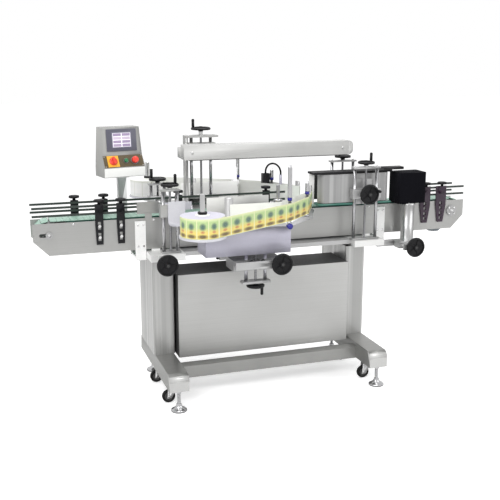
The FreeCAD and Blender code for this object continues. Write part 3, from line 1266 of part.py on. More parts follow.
def press_unit():
    """Belt unit of the wrap station: top and bottom plates, end rollers, belt and cover."""
    x0, x1 = PRESS_BELT_X
    y0, y1 = PRESS_BELT_Y
    z0, z1 = PRESS_BELT_Z
    radius = (y1 - y0) / 2 - 4
    middle = (y0 + y1) / 2
    ends = (x0 + radius + 4, x1 - radius - 4)
    cover = block((x1 - 50, x1 + 90), (y0, middle + 15), (z1 + 12, z1 + 27))
    top = block((PRESS_TOP_LEFT, x1 + 9), (y0 - 1, y1 + 3), (z1, z1 + 12))
    base = block((x0 - 6, x1 + 6), (y0 - 1, y1 + 3), (z0, z0 + 10))
    low, high = z0 + 14, z1 - 4

    def stadium(r):
        body = block(ends, (middle - r, middle + r), (low, high))
        return fuse([body] + [rod((x, middle, low), (x, middle, high), r) for x in ends])

    belt = stadium(radius).cut(stadium(radius - 3))
    rollers = [turned([(0, 0), (10, 0), (10, low - z0 - 10), (radius - 3 - GAP, low - z0 - 10),
                       (radius - 3 - GAP, high - z0 - 10), (10, high - z0 - 10),
                       (10, z1 - z0 - 10), (0, z1 - z0 - 10)], (x, middle, z0 + 10))
               for x in ends]
    back = block((PRESS_X - 57, PRESS_X + 57), (-PRESS_Y + 22 + GAP, y0 - 1), (z0, 1200))
    guide = block(PRESS_GUIDE_X, (y0 + 70, y0 + 74), (z0 + 4, z1))
    return [fuse([top, cover]), fuse([base, back]), belt, guide] + rollers


def roller_slide():
    """Carriage on the outfeed bracket with the upright housing of the foam block."""
    z, y = ROLLER_Z, ROLLER_Y
    low, high = ROLLER_SHAFTS[0] - 20, ROLLER_SHAFTS[1] + 20
    body = block((low, high), (y - 45, y + 20), (z - 18, z + 24))
    holes = [rod((x, y - 46, z), (x, y + 21, z), 9 + RUN) for x in ROLLER_SHAFTS]
    holes.append(rod((ROLLER_X, y - 46, z), (ROLLER_X, y + 21, z), 8 + RUN))
    body = cut(body, holes)
    head = FOAM_Z[0] - z - 24
    housing = turned([(0, 0), (40, 0), (40, head - 14), (46, head - 12), (46, head),
                      (0, head)], (ROLLER_X, y, z + 24))
    return [fuse([body, housing])]


def roller_handwheel():
    """Handwheel and screw of the foam block's slide."""
    x, z = ROLLER_X, ROLLER_Z
    screw = rod((x, ROLLER_END - 18, z), (x, -101, z), 8)
    return [fuse([screw, handwheel((x, ROLLER_END - 2, z), (0, -1, 0), WHEEL_RADIUS)])]


def foam_roller():
    """Rounded foam block that the goods roll along."""
    body = block(FOAM_X, FOAM_Y, FOAM_Z)
    return [body.makeFillet(14, edges_along(body, (0, 0, 1), lambda c: True))]


def code_printer():
    """Code printer block and sensor post that stand on the rear head's deck."""
    deck_top = DECK_BOTTOM + DECK_THICK
    return [block(CODER_X, CODER_Y, (deck_top, CODER_TOP)),
            rod((*SENSOR_POST, deck_top), (*SENSOR_POST, CODER_TOP), CABLE_RADIUS + 3)]


def printer_cable():
    """Cable that arches from the code printer to the sensor post."""
    start = Vector((CODER_X[0] + CODER_X[1]) / 2, (CODER_Y[0] + CODER_Y[1]) / 2, CODER_TOP)
    end = Vector(*SENSOR_POST, CODER_TOP)
    rise = Vector(0, 0, CABLE_LEG)
    middle = (start + end) * 0.5 + rise
    section = Part.Face(Part.Wire(Part.makeCircle(CABLE_RADIUS, start + rise, Vector(0, 0, 1))))
    axis = (end - start).cross(Vector(0, 0, 1))
    arch = section.revolve(middle, axis, -180)
    return [fuse([rod(start, start + rise, CABLE_RADIUS), arch,
                  rod(end, end + rise, CABLE_RADIUS)])]


def build():
    """Every sub-part by name."""
    nodes = {
        "base_frame": base_frame(),
        "levelling_feet": [levelling_foot(s, y) for s in (-1, 1) for y in FOOT_Y],
        "side_columns": [side_column(-1), side_column(1)],
        "cabinet_shell": cabinet_shell(),
        "front_panel": front_panel(),
        "rear_door": rear_door(),
        "electrical_plate": electrical_plate(),
        "bridge_channels": [bridge_channel(-1), bridge_channel(1)] + table_plate(),
        "conveyor_side_plates": conveyor_side_plates(),
        "conveyor_cross_ties": conveyor_cross_ties(),
        "slat_chain": slat_chain(),
        "conveyor_drive_shaft": sprocket_shaft(SHAFT_X, -CONVEYOR_SIDE - 14, CONVEYOR_SIDE + 50,
                                               SHAFT_STUB),
        "conveyor_tail_shaft": sprocket_shaft(-SHAFT_X, -CONVEYOR_SIDE - 14, CONVEYOR_SIDE + 14),
        "conveyor_gearmotor": conveyor_gearmotor(),
        "conveyor_supports": conveyor_supports(),
        "guide_rails": guide_rails(),
        "guide_brackets": guide_brackets(),
        "operator_post": operator_post(),
        "operator_box": turned_console(operator_box()),
        "touch_screen": turned_console(touch_screen()),
        "main_switch": turned_console(main_switch()),
        "start_button": turned_console(push_button(START_X, 12, 14)),
        "stop_button": turned_console(push_button(STOP_X, 20, 24)),
        "align_posts": align_posts(),
        "align_carriage": align_carriage(),
        "align_crank": [lift_crank(ALIGN_X, ALIGN_TOP, -LIFT_Y, 0.4)],
        "align_handwheel": align_handwheel(),
        "lift_units": lift_units(),
        "press_carriage": press_carriage(),
        "press_crank": [lift_crank(PRESS_X, PRESS_TOP, -PRESS_Y, 0.3)],
        "press_unit": press_unit(),
        "press_handwheel": press_handwheel(),
        "hold_frame": hold_frame(),
        "hold_crank": hold_crank(),
        "hold_beam": hold_beam(),
        "hold_belt": hold_belt(),
        "slide_bases": slide_bases(),
        "roller_slide": roller_slide(),
        "roller_handwheel": roller_handwheel(),
        "foam_roller": foam_roller(),
        "front_handwheel": head_handwheel(),
        "front_carriage": head_carriage(),
        "front_crank": head_crank(),
        "front_head": head_body(),
        "front_label_roll": label_roll(),
        "front_web": label_web(),
        "front_drive_roller": drive_roller(),
    }
    for name, front in (("rear_carriage", "front_carriage"), ("rear_label_roll", "front_label_roll"),
                        ("rear_web", "front_web")):
        nodes[name] = [mirrored(s) for s in nodes[front]]
    nodes["rear_head"] = [mirrored(s) for front in ("front_head", "front_crank",
                                                    "front_drive_roller") for s in nodes[front]]
    nodes["rear_head"] += code_printer()
    nodes["printer_cable"] = printer_cable()
    for side, hand in ((-1, "left"), (1, "right")):
        for y, end in zip(CASTER_Y, ("front", "rear")):
            nodes[f"caster_fork_{end}_{hand}"] = [caster_fork(side, y)]
            nodes[f"caster_wheel_{end}_{hand}"] = [caster_wheel(side, y)]
    return nodes


def main():
    """Write one STEP file for each sub-part."""
    os.makedirs("parts", exist_ok=True)
    for name, shapes in build().items():
        solids = [solid for shape in shapes for solid in shape.Solids]
        Part.makeCompound(solids).exportStep(f"parts/{name}.step")


main()
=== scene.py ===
"""Looks of the double-sided labelling machine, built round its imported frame.

Sizes are in millimetres in the classes and become metres in the meshes.
"""
import json
import logging
import math
from dataclasses import dataclass
from enum import Enum
from typing import Iterable, Sequence

import bmesh
import bpy
from mathutils import Matrix, Vector


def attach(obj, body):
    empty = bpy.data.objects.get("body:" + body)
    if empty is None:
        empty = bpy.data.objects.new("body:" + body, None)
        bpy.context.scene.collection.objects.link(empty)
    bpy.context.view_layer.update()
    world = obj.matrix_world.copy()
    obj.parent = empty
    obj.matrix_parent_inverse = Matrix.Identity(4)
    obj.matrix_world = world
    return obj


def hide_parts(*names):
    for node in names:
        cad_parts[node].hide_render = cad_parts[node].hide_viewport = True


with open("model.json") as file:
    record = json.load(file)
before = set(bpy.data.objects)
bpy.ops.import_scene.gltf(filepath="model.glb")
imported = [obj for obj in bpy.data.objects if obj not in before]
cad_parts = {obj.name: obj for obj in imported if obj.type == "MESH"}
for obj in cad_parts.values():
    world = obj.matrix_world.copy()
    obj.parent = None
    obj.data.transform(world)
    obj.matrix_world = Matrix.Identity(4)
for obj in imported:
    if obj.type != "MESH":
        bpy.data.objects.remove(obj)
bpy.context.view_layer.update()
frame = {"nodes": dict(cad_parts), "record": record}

LOG = logging.getLogger("labelling_machine")
MM = 0.001
CHART = "chart"
FAR = 3000.0
SMOOTH = 35.0
COARSE_ROUND = 52.0
CLOUD_WAVES = 14.0
GLOSS_WAVES = 45.0
PEBBLE_WAVES = 900.0
SMUDGE_WAVES = 3.0
FLECK_WAVES = 300.0

Pair = tuple[float, float]
Point = tuple[float, float, float]
Colour = tuple[float, float, float]
Box = tuple[Pair, Pair, Pair]
Profile = Sequence[Pair]


class Grain(Enum):
    """Way in which the fine lines of a finish run, as noise scales along X, Y and Z."""

    ALONG_X = (2.0, 320.0, 320.0)
    ALONG_Z = (320.0, 320.0, 2.0)
    EVEN = (160.0, 160.0, 160.0)


class Wiring:
    """Node tree of one material, with short calls that add nodes and join them."""

    def __init__(self, name: str) -> None:
        """Starts a material with one principled shader.

        Args:
            name: The material's name.
        """
        self.material = bpy.data.materials.new(name)
        self.material.use_nodes = True
        self.tree = self.material.node_tree
        self.shader = self.tree.nodes["Principled BSDF"]
        self.place = self.tree.nodes.new("ShaderNodeTexCoord").outputs["Object"]

    def feed(self, socket: bpy.types.NodeSocket, value: object) -> None:
        """Links a socket to another, or sets its value.

        Args:
            socket: The input to set.
            value: An output socket, a number or a tuple.
        """
        if isinstance(value, bpy.types.NodeSocket):
            self.tree.links.new(value, socket)
        else:
            socket.default_value = value

    def add(self, kind: str, *values: object, **inputs: object) -> bpy.types.Node:
        """Adds a node and fills its inputs.

        Args:
            kind: The node's type, without its ShaderNode prefix.
            *values: Values or sockets of its first inputs, in order.
            **inputs: Values or sockets, by input name with _ for a space.

        Returns:
            The node.
        """
        node = self.tree.nodes.new("ShaderNode" + kind)
        for socket, value in zip(node.inputs, values):
            self.feed(socket, value)
        for name, value in inputs.items():
            self.feed(node.inputs[name.replace("_", " ")], value)
        return node

    def chart(self) -> bpy.types.NodeSocket:
        """Coordinates of the piece's own flat chart."""
        node = self.add("UVMap")
        node.uv_map = CHART
        return node.outputs["UV"]

    def noise(self, waves: float | Point, detail: float = 3.0) -> bpy.types.NodeSocket:
        """Noise between 0 and 1 on the object's own coordinates.

        Args:
            waves: Waves per metre, alike each way or along X, Y and Z.
            detail: Number of finer layers.

        Returns:
            The noise's value.
        """
        scales = waves if isinstance(waves, tuple) else (waves, waves, waves)
        place = self.add("Mapping", Vector=self.place, Scale=scales).outputs["Vector"]
        return self.add("TexNoise", Vector=place, Scale=1.0, Detail=detail).outputs["Fac"]

    def spread(self, value: bpy.types.NodeSocket, low: float, high: float,
               start: float = 0.3, end: float = 0.7) -> bpy.types.NodeSocket:
        """Maps a value between two bounds to two others.

        Args:
            value: The value to map.
            low: Result at the start.
            high: Result at the end.
            start: Lower bound of the value.
            end: Upper bound of the value.

        Returns:
            The mapped value.
        """
        return self.add("MapRange", value, start, end, low, high).outputs["Result"]

    def blend(self, factor: object, first: object, second: object) -> bpy.types.NodeSocket:
        """Mixes two colours.

        Args:
            factor: Share of the second colour.
            first: Colour or socket at 0.
            second: Colour or socket at 1.

        Returns:
            The mixed colour.
        """
        node = self.add("Mix", factor)
        node.data_type = "RGBA"
        for index, value in ((6, first), (7, second)):
            self.feed(node.inputs[index], (*value, 1.0) if isinstance(value, tuple) else value)
        return node.outputs[2]

    def maths(self, operation: str, first: object, second: object = 0.0) -> bpy.types.NodeSocket:
        """Joins two numbers by a math operation.

        Args:
            operation: Blender's name of the operation.
            first: First number or socket.
            second: Second number or socket.

        Returns:
            The result.
        """
        node = self.add("Math", first, second)
        node.operation = operation
        return node.outputs[0]

    def away(self, value: object, middle: float) -> bpy.types.NodeSocket:
        """Distance of a value from a middle one."""
        return self.maths("ABSOLUTE", self.maths("SUBTRACT", value, middle))

    def relief(self, height: bpy.types.NodeSocket, strength: float, depth: float) -> None:
        """Bumps the surface by a height.

        Args:
            height: Height between 0 and 1.
            strength: Share of the bump that shows.
            depth: Depth of the bump in metres.
        """
        node = self.add("Bump", Height=height, Strength=strength, Distance=depth)
        self.feed(self.shader.inputs["Normal"], node.outputs["Normal"])

    def set(self, **inputs: object) -> None:
        """Fills the shader's inputs by name, with _ for a space."""
        for name, value in inputs.items():
            if name.endswith("Color") and isinstance(value, tuple) and len(value) == 3:
                value = (*value, 1.0)
            self.feed(self.shader.inputs[name.replace("_", " ")], value)


def tinted(colour: Colour, factor: float) -> Colour:
    """A colour made lighter or darker.

    Args:
        colour: The colour.
        factor: What each channel is multiplied by.

    Returns:
        The new colour, held below 1.
    """
    return tuple(min(1.0, channel * factor) for channel in colour)


@dataclass(frozen=True)
class Finish:
    """Surface finish of a moulded or painted piece."""

    name: str
    colour: Colour
    roughness: float = 0.5
    pebble: float = 0.00006
    mottle: float = 0.06
    shine: float = 0.5

    def material(self) -> bpy.types.Material:
        """Returns the finish's material, made once."""
        return bpy.data.materials.get(self.name) or self.make()

    def tones(self) -> tuple[Colour, Colour]:
        """The darker and the lighter tone of the mottling."""
        return tinted(self.colour, 1 - self.mottle), tinted(self.colour, 1 + self.mottle)

    def make(self) -> bpy.types.Material:
        """Returns a new material: even colour with slight mottling and a moulded pebble."""
        wires = Wiring(self.name)
        wires.set(Base_Color=wires.blend(wires.noise(CLOUD_WAVES), *self.tones()),
                  Roughness=wires.spread(wires.noise(GLOSS_WAVES), self.roughness - 0.05,
                                         self.roughness + 0.06),
                  Specular_IOR_Level=self.shine)
        wires.relief(wires.noise(PEBBLE_WAVES, 1.0), 0.35, self.pebble)
        return wires.material


@dataclass(frozen=True)
class Metal(Finish):
    """Metal with polishing lines, faint smudges, slightly uneven gloss and, where asked for, dark
    streaks along the grain that are painted reflections.
    """

    grain: Grain = Grain.EVEN
    metallic: float = 0.9
    lines: float = 0.00003
    reflection_streaks: float = 0.0
    reflection_streak_waves: Pair = (0.1, 26.0)

    def make(self) -> bpy.types.Material:
        """Returns a new material whose lines follow the grain."""
        wires = Wiring(self.name)
        lines = wires.noise(self.grain.value, 4.0)
        smudge = wires.spread(wires.noise(SMUDGE_WAVES, 5.0), 0.0, 1.0, 0.35, 0.65)
        tone = wires.blend(smudge, *self.tones())
        # Dark streaks along the grain: painted reflections of darker surroundings in the glossy
        # metal.
        if self.reflection_streaks:
            along, across = self.reflection_streak_waves
            width = tuple(along if wave == min(self.grain.value) else across
                          for wave in self.grain.value)
            reflection_streak = wires.spread(wires.noise(width, 1.0), 0.0, self.reflection_streaks, 0.42, 0.58)
            tone = wires.blend(reflection_streak, tone, tinted(self.colour, 0.45))
        wires.set(Base_Color=wires.blend(wires.spread(lines, 0.0, 0.35), tone,
                                         tinted(self.colour, 0.86)),
                  Metallic=self.metallic,
                  Roughness=wires.spread(lines, self.roughness - 0.06, self.roughness + 0.08))
        wires.relief(lines, 0.25, self.lines)
        return wires.material


@dataclass(frozen=True)
class Foam(Finish):
    """Open-celled foam rubber with a soft sheen."""

    cell: float = 420.0

    def make(self) -> bpy.types.Material:
        """Returns a new material with small pits, painted darker than their rims as painted shade.
        """
        wires = Wiring(self.name)
        cells = wires.add("TexVoronoi", Vector=wires.place, Scale=self.cell).outputs["Distance"]
        # The pits are painted darker and the rims lighter: painted shade in the pits.
        wires.set(Base_Color=wires.blend(wires.spread(cells, 0.0, 1.0, 0.0, 0.6), self.colour,
                                         tinted(self.colour, 2.2)),
                  Roughness=self.roughness, Specular_IOR_Level=0.08)
        wires.relief(cells, 0.5, 0.0006)
        return wires.material


@dataclass(frozen=True)
class PrintedLabel(Finish):
    """Paper labels on a pale liner; U counts labels and V runs from bottom to top."""

    width: float = 0.95
    height: float = 0.96
    margin: float = 0.02
    field: Colour = (0.44, 0.60, 0.24)
    foot: Colour = (0.78, 0.62, 0.13)
    foot_top: Pair = (0.34, 0.58)
    field_top: Pair = (0.84, 0.97)
    motif: Colour = (0.05, 0.13, 0.09)
    motif_oval: Point = (0.30, 0.20, 0.62)
    accent: Colour = (0.55, 0.24, 0.06)
    accent_oval: Point = (0.20, 0.08, 0.36)
    block: Colour = (0.12, 0.075, 0.005)
    block_oval: Point = (0.46, 0.12, 0.14)

    @staticmethod
    def spot(wires: Wiring, side: bpy.types.NodeSocket, up: bpy.types.NodeSocket,
             oval: Point) -> bpy.types.NodeSocket:
        """Soft-edged oval in the middle of every label.

        Args:
            wires: The material's wiring.
            side: Distance from the label's middle line.
            up: Height on the label.
            oval: Its half width, its half height and the height of its middle.

        Returns:
            1 inside the oval and 0 outside.
        """
        half_width, half_height, level = oval
        wide = wires.maths("POWER", wires.maths("DIVIDE", side, half_width), 2.0)
        high = wires.maths("POWER", wires.maths("DIVIDE", wires.away(up, level), half_height), 2.0)
        return wires.spread(wires.maths("ADD", wide, high), 1.0, 0.0, 0.15, 1.15)

    def make(self) -> bpy.types.Material:
        """Returns a new material: green field with an oval, yellow foot with two more."""
        wires = Wiring(self.name)
        parts = wires.add("SeparateXYZ", Vector=wires.chart())
        side = wires.away(wires.maths("FRACT", parts.outputs["X"]), 0.5)
        up = parts.outputs["Y"]
        colour = wires.blend(wires.spread(up, 0.0, 1.0, *self.foot_top), self.foot, self.field)
        colour = wires.blend(wires.spread(up, 0.0, 1.0, *self.field_top), colour, self.colour)
        for oval, tone in ((self.motif_oval, self.motif), (self.accent_oval, self.accent),
                           (self.block_oval, self.block)):
            colour = wires.blend(self.spot(wires, side, up, oval), colour, tone)
        inside = [wires.spread(away, 1.0, 0.0, size / 2 - self.margin, size / 2)
                  for away, size in ((side, self.width), (wires.away(up, 0.5), self.height))]
        colour = wires.blend(wires.maths("MULTIPLY", *inside), self.colour, colour)
        fleck = wires.noise(FLECK_WAVES)
        wires.set(Base_Color=wires.blend(wires.spread(fleck, 0.0, 0.12), colour, (1.0, 1.0, 1.0)),
                  Roughness=self.roughness, Coat_Weight=0.2, Coat_Roughness=0.2)
        wires.relief(fleck, 0.15, 0.00003)
        return wires.material


@dataclass(frozen=True)
class WoundPaper(Finish):
    """End of a wound roll: fine rings round the reel's middle."""

    middle: Point = (0.0, 0.0, 0.0)
    ring_waves: float = 900.0

    def make(self) -> bpy.types.Material:
        """Returns a new material with rings of slightly different paper edges."""
        wires = Wiring(self.name)
        centred = wires.add("Mapping", Vector=wires.place,
                            Location=tuple(-c * MM for c in self.middle)).outputs["Vector"]
        flat = wires.add("VectorMath", centred, (1.0, 1.0, 0.0))
        flat.operation = "MULTIPLY"
        length = wires.add("VectorMath", flat.outputs["Vector"])
        length.operation = "LENGTH"
        line = wires.add("CombineXYZ",
                         X=wires.maths("MULTIPLY", length.outputs["Value"], self.ring_waves))
        rings = wires.add("TexNoise", Vector=line.outputs["Vector"], Scale=1.0, Detail=3.0)
        tone = wires.spread(rings.outputs["Fac"], 0.0, 1.0)
        wires.set(Base_Color=wires.blend(tone, tinted(self.colour, 0.84), self.colour),
                  Roughness=self.roughness)
        wires.relief(tone, 0.3, 0.0001)
        return wires.material


@dataclass(frozen=True)
class Display(Finish):
    """Lit screen with plain tiles; it glows a little."""

    rows: float = 4.0
    dark_tile: Colour = (0.30, 0.23, 0.38)
    pale_tile: Colour = (0.74, 0.64, 0.76)
    joint: Colour = (0.93, 0.92, 0.95)
    glow: float = 0.03

    def make(self) -> bpy.types.Material:
        """Returns a new material with rows of pale tiles."""
        wires = Wiring(self.name)
        tiles = wires.add("TexBrick", Vector=wires.chart(), Color1=(*self.dark_tile, 1.0),
                          Color2=(*self.pale_tile, 1.0), Mortar=(*self.joint, 1.0), Scale=1.0,
                          Mortar_Size=0.03, Brick_Width=0.5, Row_Height=1.0 / self.rows)
        tiles.offset = 0.0
        wires.set(Base_Color=tiles.outputs["Color"], Roughness=self.roughness,
                  Emission_Color=tiles.outputs["Color"], Emission_Strength=self.glow)
        return wires.material


class Finishes:
    """Every finish of the machine, by the piece or the stuff that it is on."""

    PANEL = Metal("panel_steel", (0.50, 0.50, 0.49), 0.42, mottle=0.03, grain=Grain.ALONG_X,
                  metallic=0.5)
    # Its dark upright streaks are painted reflections.
    COLUMN = Metal("column_steel", (0.53, 0.53, 0.52), 0.32, mottle=0.05, grain=Grain.ALONG_Z,
                   metallic=0.8, reflection_streaks=0.55)
    SIDE = Metal("conveyor_steel", (0.42, 0.42, 0.41), 0.34, mottle=0.04, grain=Grain.ALONG_X,
                 metallic=0.75)
    BASE = Metal("base_steel", (0.32, 0.32, 0.31), 0.34, grain=Grain.ALONG_X, metallic=0.75)
    RAIL_END = Metal("rail_end_steel", (0.55, 0.55, 0.54), 0.4, mottle=0.08, metallic=0.4)
    BEAM = Metal("beam_steel", (0.50, 0.50, 0.49), 0.5, grain=Grain.ALONG_X, metallic=0.25)
    FRAME = Metal("frame_plate", (0.50, 0.50, 0.49), 0.35, metallic=0.7)
    BRIGHT = Metal("bright_steel", (0.72, 0.72, 0.72), 0.22, metallic=1.0)
    CHROME = Metal("chromed_steel", (0.50, 0.50, 0.51), 0.14, metallic=1.0)
    SHAFT = Metal("ground_shaft", (0.46, 0.46, 0.47), 0.16, grain=Grain.ALONG_Z, metallic=1.0)
    SLEEVE = Metal("post_sleeve", (0.66, 0.66, 0.67), 0.18, grain=Grain.ALONG_Z, metallic=0.9)
    SCREW = Metal("lead_screw", (0.32, 0.32, 0.33), 0.3, metallic=1.0)
    BRIDGE = Metal("bridge_plate", (0.80, 0.80, 0.79), 0.35, metallic=0.4)
    CRADLE = Metal("cradle_plate", (0.90, 0.90, 0.89), 0.4, metallic=0.1)
    PLATE = Metal("machined_plate", (0.50, 0.50, 0.50), 0.35, metallic=0.7)
    CARRIAGE = Metal("carriage_block", (0.42, 0.42, 0.42), 0.38, metallic=0.6)
    GUARD = Metal("guard_plate", (0.66, 0.66, 0.71), 0.38, metallic=0.35)
    DECK = Metal("deck_plate", (0.55, 0.55, 0.56), 0.34, metallic=0.6)
    ENAMEL = Metal("head_enamel", (0.46, 0.45, 0.53), 0.4, mottle=0.03, metallic=0.25)
    CAST = Metal("bearing_casting", (0.40, 0.40, 0.40), 0.5, metallic=0.5)
    HOUSING = Metal("roller_housing", (0.45, 0.45, 0.45), 0.28, grain=Grain.ALONG_Z,
                    metallic=0.9)
    POST = Finish("post_paint", (0.85, 0.85, 0.85), 0.4)
    CONSOLE = Finish("console_paint", (0.33, 0.33, 0.32), 0.5, mottle=0.02, shine=0.3)
    LIP = Finish("white_panel", (0.86, 0.86, 0.84), 0.4, mottle=0.02)
    STRIP = Finish("button_strip", (0.085, 0.06, 0.025), 0.4)
    # Near black: the real dark steel of wheel caps, switch and button bodies and the head motor,
    # and painted shade where it covers the cabinet case.
    DARK_STEEL_AND_SHADE = Metal("dark_steel_and_painted_shade", (0.045, 0.045, 0.045), 0.5, metallic=0.4)
    BLACK = Finish("black_moulding", (0.006, 0.006, 0.007), 0.45, shine=0.25)
    BRACKET = Finish("black_bracket", (0.008, 0.008, 0.010), 0.45, shine=0.25)
    OUTFEED_BRACKET = Finish("purple_bracket", (0.030, 0.014, 0.030), 0.4)
    RUBBER = Finish("tyre_rubber", (0.010, 0.010, 0.010), 0.7, shine=0.2)
    HUB = Finish("caster_hub", (0.05, 0.05, 0.05), 0.5)
    GUIDE = Finish("guide_plastic", (0.02, 0.03, 0.025), 0.5)
    GREEN_EDGE = Finish("green_plastic", (0.06, 0.20, 0.16), 0.35)
    SLAT = Finish("slat_plastic", (0.36, 0.54, 0.45), 0.4)
    FOAM = Foam("foam_block", (0.002, 0.002, 0.003), 0.9)
    PAD = Foam("pad_foam", (0.02, 0.02, 0.02), 0.9)
    # Its dark upright streaks are painted reflections.
    BELT = Metal("pale_belt", (0.42, 0.42, 0.42), 0.45, grain=Grain.ALONG_Z, metallic=0.15,
                 reflection_streaks=0.6)
    HOLD_BELT = Finish("hold_belt", (0.05, 0.05, 0.05), 0.6)
    ROLLER = Finish("belt_roller", (0.80, 0.80, 0.78), 0.4)
    BLUE = Finish("blue_collar", (0.02, 0.02, 0.24), 0.3)
    RED = Finish("red_button", (0.72, 0.05, 0.03), 0.25)
    GREEN = Finish("green_button", (0.02, 0.16, 0.06), 0.25)
    YELLOW = Finish("yellow_plate", (0.85, 0.42, 0.03), 0.4)
    MOTOR = Finish("motor_paint", (0.18, 0.20, 0.22), 0.45)
    MODULE = Finish("module_plastic", (0.16, 0.17, 0.19), 0.5)
    TERMINAL = Finish("terminal_plastic", (0.30, 0.42, 0.30), 0.5)
    DUCT = Finish("duct_plastic", (0.42, 0.43, 0.45), 0.55)
    LABEL = PrintedLabel("printed_labels", (0.74, 0.78, 0.44), 0.35)
    PLAIN_LABEL = PrintedLabel("plain_labels", (0.74, 0.76, 0.68), 0.4,
                               field=(0.92, 0.92, 0.90), foot=(0.92, 0.92, 0.90),
                               motif=(0.88, 0.89, 0.87), accent=(0.90, 0.90, 0.88),
                               block=(0.88, 0.89, 0.87))
    LINER = Finish("pale_liner", (0.90, 0.91, 0.86), 0.4)
    FRONT_PAPER = WoundPaper("front_paper", (0.56, 0.55, 0.63), 0.6,
                             middle=(-562.0, -687.0, 0.0))
    REAR_PAPER = WoundPaper("rear_paper", (0.86, 0.86, 0.84), 0.6, middle=(-562.0, 687.0, 0.0))
    BEZEL = Finish("screen_bezel", (0.09, 0.09, 0.12), 0.35)
    BEZEL_INNER = Finish("screen_frame", (0.16, 0.15, 0.22), 0.35)
    DISPLAY = Display("lit_display", (0.8, 0.8, 0.9), 0.2)


@dataclass(frozen=True)
class Zone:
    """Box of the machine whose faces get one finish; a side not given has no bounds."""

    finish: Finish
    x: Pair = (-FAR, FAR)
    y: Pair = (-FAR, FAR)
    z: Pair = (-FAR, FAR)

    def holds(self, centre: Vector) -> bool:
        """True if a face's middle, in metres, lies in the zone."""
        bounds = (self.x, self.y, self.z)
        return all(low * MM <= c <= high * MM for (low, high), c in zip(bounds, centre))


def body_of_node(node: str) -> str:
    """Name of the body that a CAD node belongs to."""
    bodies = frame["record"]["behaviour"]["bodies"]
    return next(name for name, nodes in bodies.items() if node in nodes)


def slot_of_node(node: str) -> str:
    """Name of the record's material slot of a CAD node."""
    parts = frame["record"]["subparts"]
    return next(part["material_slot"] for part in parts if part["node"] == node)


def link(name: str, mesh: bpy.types.Mesh) -> bpy.types.Object:
    """Puts a mesh in the scene as a piece at the origin.

    Args:
        name: The piece's name.
        mesh: Its mesh, already in place.

    Returns:
        The piece.
    """
    piece = bpy.data.objects.new(name, mesh)
    bpy.context.scene.collection.objects.link(piece)
    return piece


def settle(piece: bpy.types.Object, node: str, *replaced: str) -> bpy.types.Object:
    """Rides a piece on a node's body, looks up the node's slot without giving it to the piece, and
    hides what it replaces.

    Args:
        piece: The finished piece.
        node: A CAD node on the same body.
        *replaced: CAD nodes that the piece stands for.

    Returns:
        The piece.
    """
    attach(piece, body_of_node(node))
    slot_of_node(node)
    if replaced:
        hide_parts(*replaced)
    LOG.info("piece %s on %s", piece.name, body_of_node(node))
    return piece


def dressed(node: str, finish: Finish, *zones: Zone,
            smooth: float = SMOOTH) -> bpy.types.Object:
    """Copy of a CAD node with joined corners, smooth round faces and its own finishes.

    Args:
        node: The CAD node.
        finish: Finish of every face outside the zones.
        *zones: Boxes with other finishes; the first that holds a face wins.
        smooth: Angle in degrees under which neighbouring faces shade as one.

    Returns:
        The piece, which replaces the node.
    """
    mesh = frame["nodes"][node].data.copy()
    mesh.materials.clear()
    rules = [*zones, Zone(finish)]
    for rule in rules:
        mesh.materials.append(rule.finish.material())
    work = bmesh.new()
    work.from_mesh(mesh)
    bmesh.ops.remove_doubles(work, verts=work.verts, dist=1e-6)
    for face in work.faces:
        centre = face.calc_center_median()
        face.material_index = next(i for i, rule in enumerate(rules) if rule.holds(centre))
        face.smooth = True
    work.to_mesh(mesh)
    work.free()
    mesh.set_sharp_from_angle(angle=math.radians(smooth))
    return settle(link("dressed_" + node, mesh), node, node)


def rod(radius: float, low: float, high: float, bore: float = 0.0) -> Profile:
    """Outline of a plain round bar between two heights, hollow if it has a bore."""
    return [(bore, low), (radius, low), (radius, high), (bore, high)]


def turned_to(axis: Point) -> Matrix:
    """Turn that brings the upward direction to an axis."""
    return Vector((0, 0, 1)).rotation_difference(Vector(axis)).to_matrix()


